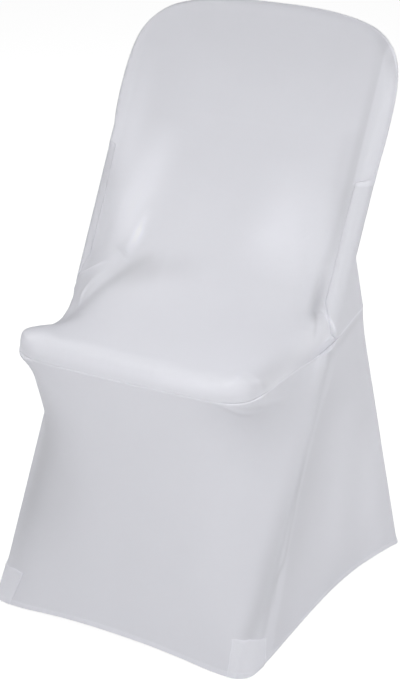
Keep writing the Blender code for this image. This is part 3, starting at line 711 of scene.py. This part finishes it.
def seam_relief(name, grid):
    """Relief and lightness along the panel's own seams, hem and doubled strips, with painted
    highlights on the seams and the right strip.
    """
    relief = np.zeros(grid.shape[:2])
    light = np.zeros(grid.shape[:2])
    hem = edge_distance(grid, 0, True) if name.startswith("skirt") else None
    seams = upper_edges(grid)
    if hem is None:
        seams.append(edge_distance(grid, 0, True))
    nearest = np.minimum.reduce(seams)
    ridge = SEAM_RIDGE * bell((nearest - SEAM_RIDGE_AT) / SEAM_RIDGE_WIDTH)
    relief += ridge * soft_step(nearest / SEAM_RIDGE_WIDTH)
    # Painted highlights along the seam rolls, faint on the side seams
    for place, edge in enumerate(seams):
        shine = SIDE_SEAM_HIGHLIGHT if place in (1, 2) else SEAM_HIGHLIGHT
        light = np.maximum(light, shine * bell(edge / SEAM_HIGHLIGHT_WIDTH))
    if hem is None:
        beside = soft_step((np.abs(grid[..., 0]) - STRIP_INNER_X) / STRIP_FADE)
        doubled = beside * soft_step((grid[..., 2] - MOUNT_Z - STRIP_LOW_Z) / STRIP_EDGE)
        relief += STRIP_THICK * doubled * soft_step(nearest / RELIEF_RISE)
        # Doubled strips are lighter, and the right one also carries a painted highlight where it
        # faces the light
        light += np.where(grid[..., 0] < 0, STRIP_DOUBLING_AND_SHEEN[-1], STRIP_DOUBLING_AND_SHEEN[1]) * doubled
    else:
        band = soft_step((HEM_WIDTH - hem) / HEM_EDGE + 0.5)
        relief += (HEM_THICK * band * soft_step(seams[1] / RELIEF_RISE)
                   * soft_step(seams[2] / RELIEF_RISE))
        light += HEM_LIGHT * band
    return relief, light, soft_step(nearest / KEEP_FLAT)


# Folds given one by one, for each panel: the widths over which a fold fades to the left and right
# of its line, looking at the cloth, and the line's points as x, y, z and the height there. All are
# whole tenths of a millimetre.
LENGTH_PARTS = 10000
SEAM_ROLL = (30, 30, [
    (1975, -2060, -3590, 0), (2000, -2095, -3650, 22), (2066, -2064, -3678, 26),
    (2145, -2060, -3768, 26), (2194, -2043, -3869, 16), (2206, -2017, -3934, 0)])
FOLDS = {"front_panel": [
    # Crease from the low left of the hood and the strap-like ridge and hollow under it
    (35, 75, [(-2045, -2135, -3770, 12), (-1985, -2175, -3725, 28), (-1882, -2209, -3664, 34),
     (-1736, -2232, -3585, 30), (-1569, -2232, -3494, 18), (-1333, -2234, -3399, 6),
     (-1200, -2195, -3325, 0)]),
    (80, 45, [(-1683, -2804, -3909, 0), (-1752, -2601, -3857, 18), (-1688, -2492, -3752, 16),
     (-1588, -2415, -3647, 10), (-1400, -2330, -3500, 0)]),
    (160, 200, [(-1600, -3050, -3920, 0), (-1557, -2959, -3901, -14), (-1480, -2717, -3774, -28),
     (-1380, -2538, -3637, -36), (-1212, -2418, -3503, -36), (-1063, -2269, -3349, -26),
     (-750, -2227, -3264, 0)]),
    # Fan above that crease
    (300, 120, [(-1200, -2215, -3335, 0), (-1137, -2143, -3258, 30), (-1047, -2049, -3145, 34),
     (-965, -1958, -3033, 30), (-964, -1848, -2908, 24), (-932, -1678, -2686, 14),
     (-913, -1513, -2448, 0)]),
    # The sweep stands forward of its side rolls over its whole width, fullest at its two cheeks
    (620, 700, [(-1950, -1700, -3000, 0), (-1740, -1760, -2950, 40), (-1500, -1810, -2930, 80),
     (-1000, -1860, -2940, 95), (0, -1950, -2950, 85), (900, -1850, -2940, 110),
     (1400, -1760, -2900, 115), (1650, -1700, -2880, 60), (1880, -1650, -2860, 0)]),
    # Hollows along the side rolls, ending on the right in a deep pocket with a thin crease below it
    (80, 160, [(1724, -1230, -2044, 0), (1740, -1369, -2303, -15), (1750, -1511, -2561, -25),
     (1770, -1657, -2817, -30), (1800, -1777, -3029, -40), (1850, -1885, -3272, -60),
     (1860, -1991, -3435, -80), (1870, -2117, -3589, -70), (1900, -2240, -3725, -20),
     (1950, -2320, -3850, 0)]),
    (140, 100, [(-1941, -1296, -2188, 0), (-1904, -1440, -2460, -12), (-1862, -1588, -2729, -18),
     (-1814, -1748, -2994, -20), (-1770, -1926, -3253, -15), (-1732, -2120, -3475, 0)]),
    (22, 45, [(1990, -2140, -3700, 0), (2017, -2211, -3791, -16), (2040, -2275, -3895, -16),
     (2061, -2335, -3996, 0)]),
    # Roll of the side seam where it runs out to the seat's rear corner
    SEAM_ROLL,
    # Hollow where the seat's left side turns up into the sweep
    (300, 320, [(-1950, -2450, -3880, -20), (-1791, -2754, -3959, -85),
     (-1766, -2919, -3999, -110), (-1660, -3250, -3994, -95), (-1640, -3547, -4005, -25),
     (-1700, -3750, -4020, 0)]),
    # Raised front corners of the pad, with a second fold under the seam on the right
    (100, 100, [(1560, -4070, -4150, 10), (1647, -4039, -4106, 34), (1723, -3958, -4060, 42),
     (1792, -3837, -4086, 42), (1856, -3812, -4168, 20), (1900, -3780, -4250, 0)]),
    (30, 50, [(-1680, -4050, -4300, 0), (-1595, -4085, -4285, 13), (-1445, -4098, -4275, 13),
     (-1320, -4105, -4320, 0)]),
], "back_panel": [
    SEAM_ROLL,
], "skirt_wrap": [
    (35, 50, [(1480, -4075, -4430, 0), (1663, -4062, -4472, 16), (1783, -3947, -4545, 24),
     (1876, -3785, -4590, 16), (1940, -3620, -4590, 0)]),
    (50, 120, [(1480, -4075, -4530, 0), (1663, -4062, -4572, -5), (1783, -3947, -4645, -7),
     (1876, -3785, -4690, -5), (1940, -3620, -4690, 0)]),
    # The skirt's left edge stands out under the pad's corner
    (200, 200, [(-1780, -3720, -4700, 0), (-1700, -3713, -4950, 30), (-1650, -3730, -5129, 30),
     (-1600, -3756, -5285, 20), (-1580, -3750, -5470, 0)]),
]}


# Painted light and shade on the cloth, and darker single cloth at the skirt's front corners: laid
# out as above, with the change of its lightness in thousandths instead of a height
LIGHT_PARTS = 1000
# Painted highlight on the roll of the side seam where it runs out to the seat's rear corner
SEAM_ROLL_HIGHLIGHT = (28, 28, [
    (2000, -2062, -3610, 80), (2017, -2063, -3628, 140), (2066, -2064, -3678, 170),
    (2145, -2060, -3768, 170), (2194, -2043, -3869, 140), (2206, -2017, -3934, 80)])
PAINTED_LIGHT_SHADE_AND_SINGLE_CLOTH = {"front_panel": [
    # Painted highlights along the left crease and at its tip, and painted shade under it
    (26, 22, [(-2064, -2135, -3764, 190), (-1898, -2200, -3669, 190), (-1728, -2235, -3583, 150),
     (-1556, -2248, -3502, 70), (-1429, -2250, -3449, 0)]),
    (30, 26, [(-1685, -2815, -3914, 50), (-1738, -2646, -3872, 90), (-1706, -2562, -3805, 70),
     (-1653, -2507, -3742, 0)]),
    (60, 100, [(-1135, -2175, -3290, 30), (-1129, -2156, -3268, 100), (-1111, -2058, -3169, 100),
     (-1097, -1943, -3043, 90), (-1072, -1816, -2888, 60), (-1050, -1700, -2700, 0)]),
    (110, 160, [(-1380, -2700, -3720, -40), (-1300, -2600, -3640, -70),
     (-1180, -2500, -3540, -100), (-1040, -2400, -3440, -110), (-880, -2320, -3340, -100),
     (-740, -2280, -3290, -60), (-600, -2250, -3250, 0)]),
    (240, 260, [(-1250, -2680, -3640, -40), (-1100, -2570, -3540, -90),
     (-950, -2480, -3440, -110), (-780, -2430, -3370, -100), (-600, -2400, -3330, -70),
     (-400, -2380, -3300, 0)]),
    (220, 220, [(-1000, -2600, -3560, 0), (-736, -2504, -3456, -45), (-450, -2400, -3360, -70),
     (-220, -2360, -3310, -70), (3, -2349, -3294, -40), (300, -2330, -3270, 0)]),
    (60, 80, [(-1040, -2050, -3150, 80), (-1040, -1960, -3050, 130), (-1050, -1879, -2960, 50),
     (-1050, -1780, -2800, 0)]),
    # Painted shade over the hood's upper half
    (900, 900, [(-2050, -600, -900, -50), (-1500, -200, -200, -55), (0, -150, -150, -55),
     (1500, -200, -200, -55), (2050, -400, -600, -30)]),
    # Painted sheen on the cheeks, and painted shade along the side rolls
    (350, 300, [(-1250, -2080, -3200, 40), (-1321, -1952, -3109, 90), (-1380, -1737, -2856, 130),
     (-1350, -1521, -2528, 135), (-1300, -1322, -2184, 120), (-1250, -1150, -1850, 65),
     (-1200, -950, -1500, 0)]),
    (550, 450, [(1000, -1100, -1700, 0), (1100, -1324, -2171, 50), (1120, -1513, -2488, 95),
     (1130, -1719, -2801, 110), (1200, -1948, -3104, 60), (1200, -2172, -3337, 0)]),
    (120, 120, [(-2050, -1000, -1650, 0), (-2010, -1250, -2080, -30), (-1990, -1450, -2460, -70),
     (-1960, -1680, -2850, -50), (-1940, -1900, -3250, -20), (-1930, -2060, -3500, -50)]),
    (220, 450, [(-1850, -350, -550, 0), (-1850, -550, -850, 30), (-1850, -820, -1330, 65),
     (-1850, -1080, -1800, 80), (-1800, -1280, -2150, 55), (-1750, -1480, -2500, 0)]),
    (280, 75, [(1880, -343, -330, -20), (1930, -474, -586, -50), (1935, -621, -874, -70),
     (1930, -776, -1177, -85), (1925, -944, -1504, -110), (1925, -1079, -1765, -120),
     (1925, -1213, -2023, -130), (1920, -1347, -2283, -135), (1915, -1481, -2541, -135),
     (1910, -1614, -2798, -120), (1880, -1735, -3017, -80), (1870, -1829, -3149, -20)]),
    (140, 120, [(1700, -850, -1300, 0), (1751, -918, -1454, -35), (1765, -1192, -1973, -55),
     (1800, -1320, -2224, -55), (1790, -1500, -2600, -30), (1780, -1650, -2850, 0)]),
    (120, 120, [(1700, -200, -100, 0), (1860, -222, -133, -50), (2008, -256, -254, -80),
     (2105, -284, -381, -130), (2180, -417, -634, -50), (2190, -550, -900, 0)]),
    # Painted shade in the right pocket, and a painted highlight on the roll beside it
    (110, 80, [(1860, -1795, -3076, -20), (1875, -1829, -3149, -80), (1875, -1908, -3275, -140),
     (1885, -1985, -3398, -200), (1900, -2058, -3507, -230), (1920, -2125, -3600, -200),
     (1949, -2172, -3682, -120), (1975, -2210, -3740, -40), (1985, -2240, -3790, 0)]),
    (30, 20, [(1930, -2150, -3640, -80), (1959, -2175, -3694, -120), (1985, -2220, -3764, -120),
     (2009, -2275, -3847, -90), (2035, -2334, -3942, 0)]),
    SEAM_ROLL_HIGHLIGHT,
    # Painted light on the cloth that turns down to the seam at the seat's right side
    (50, 80, [(2206, -2015, -3950, 100), (2179, -2052, -3981, 120), (2153, -2151, -4037, 120),
     (2110, -2246, -4097, 80), (2068, -2372, -4147, 30), (2030, -2500, -4180, 0)]),
    # Painted highlight along the pad's front roll, and painted shade behind its raised corner
    (120, 140, [(-1950, -3900, -4200, 0), (-1600, -4060, -4220, 30), (-500, -4095, -4235, 90),
     (500, -4095, -4235, 110), (1082, -4092, -4235, 130), (1398, -4093, -4226, 120),
     (1652, -4047, -4188, 120), (1774, -3938, -4171, 90), (1810, -3841, -4124, 0)]),
    (150, 150, [(1900, -3700, -4200, 0), (1900, -3560, -4180, -110), (1880, -3258, -4165, -110),
     (1890, -2867, -4144, -80), (1950, -2545, -4089, 0)]),
], "back_panel": [
    # Painted shade along the left side roll
    (120, 120, [(-2090, -1240, -2100, -80), (-2075, -1371, -2345, -130),
     (-2048, -1583, -2759, -100), (-2031, -1780, -3146, -50), (-2023, -1934, -3450, -30),
     (-2020, -2000, -3600, 0)]),
    SEAM_ROLL_HIGHLIGHT,
], "skirt_wrap": [
    # Darker bands down the skirt's two front corners, where the cloth is single, with painted shade
    # added on the left, which is turned from the light
    (130, 120, [(2082, -4132, -7738, -140), (2103, -3980, -7506, -140),
     (2104, -3848, -7255, -125), (2098, -3705, -6963, -110), (2103, -3499, -6556, -85),
     (2112, -3300, -6175, -65), (2122, -3102, -5792, -45), (2123, -2916, -5406, -25),
     (2120, -2750, -5000, 0)]),
    (400, 400, [(-1950, -4173, -7627, -75), (-1940, -4005, -7196, -130),
     (-1880, -3878, -6738, -180), (-1780, -3802, -6258, -190), (-1630, -3834, -5731, -145),
     (-1480, -3925, -5203, -80), (-1400, -3950, -4800, 0)]),
    (500, 450, [(-1050, -3980, -5100, 0), (-1120, -3990, -5600, -45), (-1200, -4020, -6100, -75),
     (-1280, -4060, -6600, -75), (-1350, -4120, -7200, -35), (-1400, -4170, -7800, 0)]),
    # Shade along the skirt's right front ridge, and under the seam that runs back from it
    (100, 65, [(2188, -3927, -7772, -90), (2182, -3810, -7515, -90), (2181, -3703, -7252, -90),
     (2176, -3509, -6795, -80), (2176, -3296, -6344, -75), (2184, -3065, -5944, -70),
     (2189, -2830, -5499, -65), (2195, -2569, -5001, -65), (2196, -2327, -4495, -80),
     (2199, -2171, -4200, -80)]),
    (50, 50, [(2185, -3700, -7550, 0), (2185, -3546, -7056, -100), (2189, -3386, -6891, -100),
     (2190, -3175, -6359, -90), (2191, -2966, -5828, -60), (2192, -2780, -5441, 0)]),
    (70, 70, [(2199, -2071, -4190, -50), (2218, -1852, -4090, -70), (2229, -1634, -3980, -70),
     (2219, -1307, -3896, -50)]),
    # Painted shade on the side of the skirt towards its front, and painted light towards its rear
    (50, 450, [(2201, -3606, -7888, -50), (2197, -3386, -7358, -50), (2193, -3171, -6670, -65),
     (2195, -2908, -6003, -70), (2199, -2591, -5356, -70), (2205, -2299, -4851, -50)]),
    (550, 450, [(2214, -564, -7634, 50), (2200, -714, -6992, 75), (2198, -822, -6295, 60),
     (2202, -1005, -5584, 0)]),
    (450, 450, [(2200, -1650, -5000, 0), (2200, -1700, -5500, 35), (2200, -1780, -6100, 50),
     (2200, -1880, -6700, 50), (2200, -1980, -7300, 40), (2200, -2050, -7800, 0)]),
]}


def fold_relief(points, normals, fold, parts):
    """Height or lightness of one row of the tables at each point of a sheet."""
    left, right = fold[0] / LENGTH_PARTS, fold[1] / LENGTH_PARTS
    curve = curve_through(np.array(fold[2]) / (LENGTH_PARTS, LENGTH_PARTS, LENGTH_PARTS, parts))
    curve = curve[::LINE_STEP]
    centre = curve[:, :3] + MOUNT
    run = unit(np.gradient(centre, axis=0))
    flat = points.reshape(-1, 3)
    relief = np.zeros(len(flat))
    reach = FOLD_REACH * max(left, right)
    close = np.all((flat > centre.min(0) - reach) & (flat < centre.max(0) + reach), axis=1)
    flat = flat[close]
    near = nearest_index(flat, centre)
    away = flat - centre[near]
    side = (away * np.cross(normals.reshape(-1, 3)[close], run[near])).sum(1)
    width = np.where(side > 0, left, right)
    relief[close] = curve[near, 3] * bell(np.linalg.norm(away, axis=1) / width)
    return relief.reshape(points.shape[:2])


def put(name, data):
    """A new object in the scene."""
    made = bpy.data.objects.new(name, data)
    bpy.context.scene.collection.objects.link(made)
    return made


def shown_mesh(name, outer, inner, outward, light, material):
    """A thin closed sheet between two grids of points, with its flat cloth sizes as UVs."""
    rows, columns = outer.shape[:2]
    count = rows * columns
    points = np.vstack([outer.reshape(-1, 3), inner.reshape(-1, 3)]) - MOUNT
    number = np.arange(count).reshape(rows, columns)
    quads = np.stack([number[:-1, :-1], number[1:, :-1], number[1:, 1:], number[:-1, 1:]], axis=-1)
    quads = quads.reshape(-1, 4)[:, ::outward]
    ring = np.concatenate([number[0, :-1], number[:-1, -1], number[-1, :0:-1], number[:0:-1, 0]])
    ahead = np.roll(ring, -1)
    rim = np.stack([ring, ahead, ahead + count, ring + count], axis=1)[:, ::outward]
    faces = np.vstack([quads, quads[:, ::-1] + count, rim])
    mesh = bpy.data.meshes.new(name)
    mesh.from_pydata(points.tolist(), [], faces.tolist())
    mesh.shade_smooth()
    soft = np.arange(len(faces)) < len(faces) - len(rim)
    mesh.polygons.foreach_set("use_smooth", soft)
    across = lengths(outer[rows // 2])
    down = lengths(outer[:, columns // 2])
    flat = np.stack(np.broadcast_arrays(across[None, :], -down[:, None]), axis=-1).reshape(-1, 2)
    flat = np.vstack([flat, flat])
    layer = mesh.uv_layers.new(name="cloth")
    layer.data.foreach_set("uv", flat[faces.reshape(-1)].astype(np.float32).ravel())
    lightness = mesh.attributes.new("lightness", "FLOAT", "POINT")
    lightness.data.foreach_set("value", np.tile(light.ravel(), 2).astype(np.float32))
    mesh.materials.append(material)
    return put(name, mesh)


def add_sheet(name, outer, outward, light, material):
    """One sheet of the cover, which replaces the solid of the same name."""
    inner = outer - CLOTH * grid_normals(outer, outward)
    piece = shown_mesh(name + "_cloth", outer, inner, outward, light, material)
    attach(piece, "root")
    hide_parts(name)


# Doubled foot pockets at the hem's front corners, on the skirt's grid of 57 lines from seam to hem
# and 169 lines from the left rear edge round the front to the right rear edge
POCKET_STEPS = (56, 72)
POCKET_GAP = 0.0002
POCKET_WAVE = 0.0009
POCKET_WAVE_AT = 0.42
POCKET_WAVE_WIDTH = 0.14
POCKET_WAVE_RISE = 0.006
POCKET_RIDGE = 0.0003
POCKET_RIDGE_AT = 0.003
POCKET_RIDGE_WIDTH = 0.002
# Painted highlight along the pocket edges
POCKET_EDGE_HIGHLIGHT = 0.06
HEM_LINE = 56.0
POCKETS = {
    # name: top edge, first side and second side, each as lines (down, across)
    "foot_pocket_left": ([(45, 22), (44.6, 36), (44, 48), (44, 57)],
                         [(45, 22), (50, 21), (56, 20)],
                         [(44, 57), (48, 56), (54, 55), (56, 54.5)]),
    "foot_pocket_right": ([(44.2, 118.5), (44.2, 122), (44.5, 131), (44.6, 140), (45.7, 145)],
                          [(44.2, 118.5), (46, 119), (48, 118), (50, 118), (53, 117), (56, 117)],
                          [(45.7, 145), (48, 146), (51, 147), (54, 148), (56, 148)]),
}


def pocket_places(top, first, second):
    """Fractional lines of the skirt's grid at each point of a pocket."""
    v = crowded(POCKET_STEPS[0], 2, [(0, 0.06, 2.0), (1, 0.1, 1.5)])
    u = crowded(POCKET_STEPS[1], 2, [(0, 0.05, 2.0), (1, 0.05, 2.0)])
    upper = along(curve_through(top), u)
    low = first[-1][1] + (second[-1][1] - first[-1][1]) * u
    low = np.stack([np.full(len(u), HEM_LINE), low], axis=1)
    sides = (along(curve_through(line), v) for line in (first, second))
    return between(upper, low, *sides, u, v)


def add_pockets(skirt, row_places, column_places, material):
    """The two pockets, laid on the skirt as it shows."""
    for name, (top, first, second) in POCKETS.items():
        places = pocket_places(top, first, second)
        rows = np.interp(places[..., 0], row_places, np.arange(len(row_places)))
        columns = np.interp(places[..., 1], column_places, np.arange(len(column_places)))
        base = read_at(skirt, rows, columns)
        normals = grid_normals(base, 1)
        edge = np.minimum.reduce(upper_edges(base))
        across = np.linspace(0, 1, base.shape[1])
        wave = POCKET_WAVE * bell((across - POCKET_WAVE_AT) / POCKET_WAVE_WIDTH)
        wave = wave * soft_step(edge / POCKET_WAVE_RISE)
        ridge = POCKET_RIDGE * bell((edge - POCKET_RIDGE_AT) / POCKET_RIDGE_WIDTH)
        rise = POCKET_GAP + CLOTH + ridge + wave
        outer = base + normals * rise[..., None]
        # Painted highlight along the pocket's edges
        light = POCKET_EDGE_HIGHLIGHT * bell(edge / SEAM_HIGHLIGHT_WIDTH)
        add_sheet(name, outer, 1, light, material)


# Materials

KNIT_COLOR = (0.827, 0.831, 0.888, 1.0)
FOOT_COLOR = (0.861, 0.865, 0.923, 1.0)
ROUGHNESS = 0.50
GLOSS = 0.90
WALE = 0.00055
COURSE = 0.00042
LOOP_SLANT = 1.1
LOOP_HEIGHT = 0.35
FUZZ_HEIGHT = 1.2
CLOUDS = ((14.0, 3.0), (900.0, 2.0))
UNEVEN = 0.030
STITCH_BUMP = 0.35
STITCH_HEIGHT = 0.00006


def new_material(name):
    """A material and its shader."""
    material = bpy.data.materials.new(name)
    material.use_nodes = True
    return material, material.node_tree.nodes["Principled BSDF"]


def fill(node, inputs):
    """Set a node's inputs, each to a value or to another node's output."""
    for key, value in inputs.items():
        if isinstance(value, bpy.types.NodeSocket):
            node.id_data.links.new(value, node.inputs[key])
        else:
            node.inputs[key].default_value = value


def knit_material(name, color):
    """White stretch knit: fine columns of loops, a soft gloss, a faint unevenness, and the sheets'
    lightness, which holds doubled cloth and painted light and shade.
    """
    material, shader = new_material(name)

    def add(kind, inputs, **settings):
        node = material.node_tree.nodes.new("ShaderNode" + kind)
        for key, value in settings.items():
            setattr(node, key, value)
        fill(node, inputs)
        return node.outputs

    def math(operation, *values):
        return add("Math", dict(enumerate(values)), operation=operation)[0]

    flat = add("SeparateXYZ", {0: add("UVMap", {}, uv_map="cloth")["UV"]})
    wale = math("SUBTRACT", math("FRACT", math("DIVIDE", flat["X"], WALE)), 0.5)
    slant = math("MULTIPLY", math("ABSOLUTE", wale), LOOP_SLANT)
    course = math("ADD", math("DIVIDE", flat["Y"], COURSE), slant)
    loop = math("MULTIPLY", math("SINE", math("MULTIPLY", course, 2 * pi)), LOOP_HEIGHT)
    stitches = math("ADD", loop, math("COSINE", math("MULTIPLY", wale, pi)))

    place = add("TexCoord", {})["Object"]
    wide, fuzz = (add("TexNoise", {"Scale": scale, "Detail": detail, "Vector": place})["Fac"]
                  for scale, detail in CLOUDS)
    # The sheets' lightness: doubled cloth, with painted highlights and painted shade
    tone = add("Attribute", {}, attribute_name="lightness")["Fac"]
    for cloud in (wide, fuzz):
        tone = math("ADD", tone, math("MULTIPLY", math("SUBTRACT", cloud, 0.5), UNEVEN))
    tint = add("VectorMath", {0: color[:3], "Scale": math("ADD", tone, 1.0)}, operation="SCALE")
    height = math("ADD", stitches, math("MULTIPLY", fuzz, FUZZ_HEIGHT))
    bump = add("Bump", {"Strength": STITCH_BUMP, "Distance": STITCH_HEIGHT, "Height": height})
    fill(shader, {"Roughness": ROUGHNESS, "Specular IOR Level": GLOSS,
                  "Base Color": tint[0], "Normal": bump["Normal"]})
    return material


# Studio: a pale floor, broad soft lights and the camera

FLOOR_SIZE = 60.0
FLOOR_GAP = 0.0015
WHITE_FLOOR = (0.30, 0.95)
MATT_FLOOR = (0.95, 0.0)
CAMERA_AZIMUTH = 31.50
CAMERA_ELEVATION = 19.78
CAMERA_ROLL = 0.057
CAMERA_DISTANCE = 2.8656
CAMERA_AIM_Z = 0.42
CAMERA_LENS = 104.26
CAMERA_SHIFT = (0.0015, -0.0332)
LIGHT_AIM_Z = 0.45
NEAR = (1.5, 1.1)
FAR = (3.2, 2.4)
LIGHTS = [
    # name, azimuth from the front, elevation, power, (distance, size)
    ("front", 0, 25, 7.9, NEAR),
    ("camera_high", 30, 40, 3.7, NEAR),
    ("front_left", -60, 30, 1.8, NEAR),
    ("left", -90, 40, 28.0, FAR),
    ("top", 0, 75, 6.5, FAR),
    ("right", 90, 30, 36.0, FAR),
    ("right_rear", 150, 20, 24.0, FAR),
    ("rear", 180, 50, 11.5, FAR),
]
SKY_COLOR = (0.93, 0.93, 1.0, 1.0)
SKY_STRENGTH = 0.01


def looking_at(aim_z, azimuth, elevation, distance):
    """Placing of a camera or lamp that looks at a height; azimuth runs from front to right."""
    across, up = radians(azimuth), radians(elevation)
    away = Vector((sin(across) * cos(up), -cos(across) * cos(up), sin(up)))
    aim = Vector((0, 0, aim_z)) - Vector(MOUNT)
    turn = away.to_track_quat("Z", "Y").to_matrix().to_4x4()
    return Matrix.Translation(aim + away * distance) @ turn


def add_camera():
    data = bpy.data.cameras.new("camera")
    data.sensor_width = 36.0
    data.lens = CAMERA_LENS
    data.shift_x, data.shift_y = CAMERA_SHIFT
    data.clip_end = 100.0
    camera = put("camera", data)
    placing = looking_at(CAMERA_AIM_Z, CAMERA_AZIMUTH, CAMERA_ELEVATION, CAMERA_DISTANCE)
    camera.matrix_world = placing @ Matrix.Rotation(radians(CAMERA_ROLL), 4, "Z")
    bpy.context.scene.camera = camera


def add_light(name, azimuth, elevation, power, placing):
    distance, size = placing
    data = bpy.data.lights.new(name, "AREA")
    data.shape = "DISK"
    data.size = size
    data.energy = power
    put(name, data).matrix_world = looking_at(LIGHT_AIM_Z, azimuth, elevation, distance)


def add_floor(name, low, color, glow):
    mesh = bpy.data.meshes.new(name)
    half = FLOOR_SIZE / 2
    corners = [(-half, -half, low), (half, -half, low), (half, half, low), (-half, half, low)]
    mesh.from_pydata(corners, [], [(0, 1, 2, 3)])
    material, shader = new_material(name)
    fill(shader, {
        "Base Color": (color, color, color, 1.0), "Roughness": 0.9, "Specular IOR Level": 0.0,
        "Emission Color": (1.0, 1.0, 1.0, 1.0), "Emission Strength": glow})
    mesh.materials.append(material)
    floor = put(name, mesh)
    return floor


def add_studio():
    """A white floor that shows, a matt one under it that only reflects light, and the lights."""
    world = bpy.data.worlds.new("studio")
    world.use_nodes = True
    fill(world.node_tree.nodes["Background"], {"Color": SKY_COLOR, "Strength": SKY_STRENGTH})
    bpy.context.scene.world = world
    for row in LIGHTS:
        add_light(*row)
    white = add_floor("white_floor", -MOUNT_Z - FLOOR_GAP, *WHITE_FLOOR)
    white.visible_diffuse = white.visible_glossy = white.visible_shadow = False
    matt = add_floor("matt_floor", -MOUNT_Z - 2 * FLOOR_GAP, *MATT_FLOOR)
    matt.visible_camera = False
    bpy.context.scene.view_settings.view_transform = "Standard"


def main():
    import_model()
    knit = knit_material("cover_knit", KNIT_COLOR)
    foot_knit = knit_material("foot_knit", FOOT_COLOR)
    for name, grid in build_sheets().items():
        rows, columns, outward, row_crowds, column_crowds = PANELS[name]
        row_places = crowded(rows, grid.shape[0], row_crowds)
        column_places = crowded(columns, grid.shape[1], column_crowds)
        shown = read_grid(grid, row_places, column_places)
        normals = grid_normals(shown, outward)
        relief, light, free = seam_relief(name, shown)
        for fold in FOLDS.get(name, []):
            relief += fold_relief(shown, normals, fold, LENGTH_PARTS) * free
        # Painted light and shade, and the darker single cloth at the skirt's front corners
        for tone in PAINTED_LIGHT_SHADE_AND_SINGLE_CLOTH.get(name, []):
            light += fold_relief(shown, normals, tone, LIGHT_PARTS)
        shown = shown + relief[..., None] * normals
        add_sheet(name, shown, outward, light, knit)
        if name == "skirt_wrap":
            add_pockets(shown, row_places, column_places, foot_knit)
    add_camera()
    add_studio()


main()
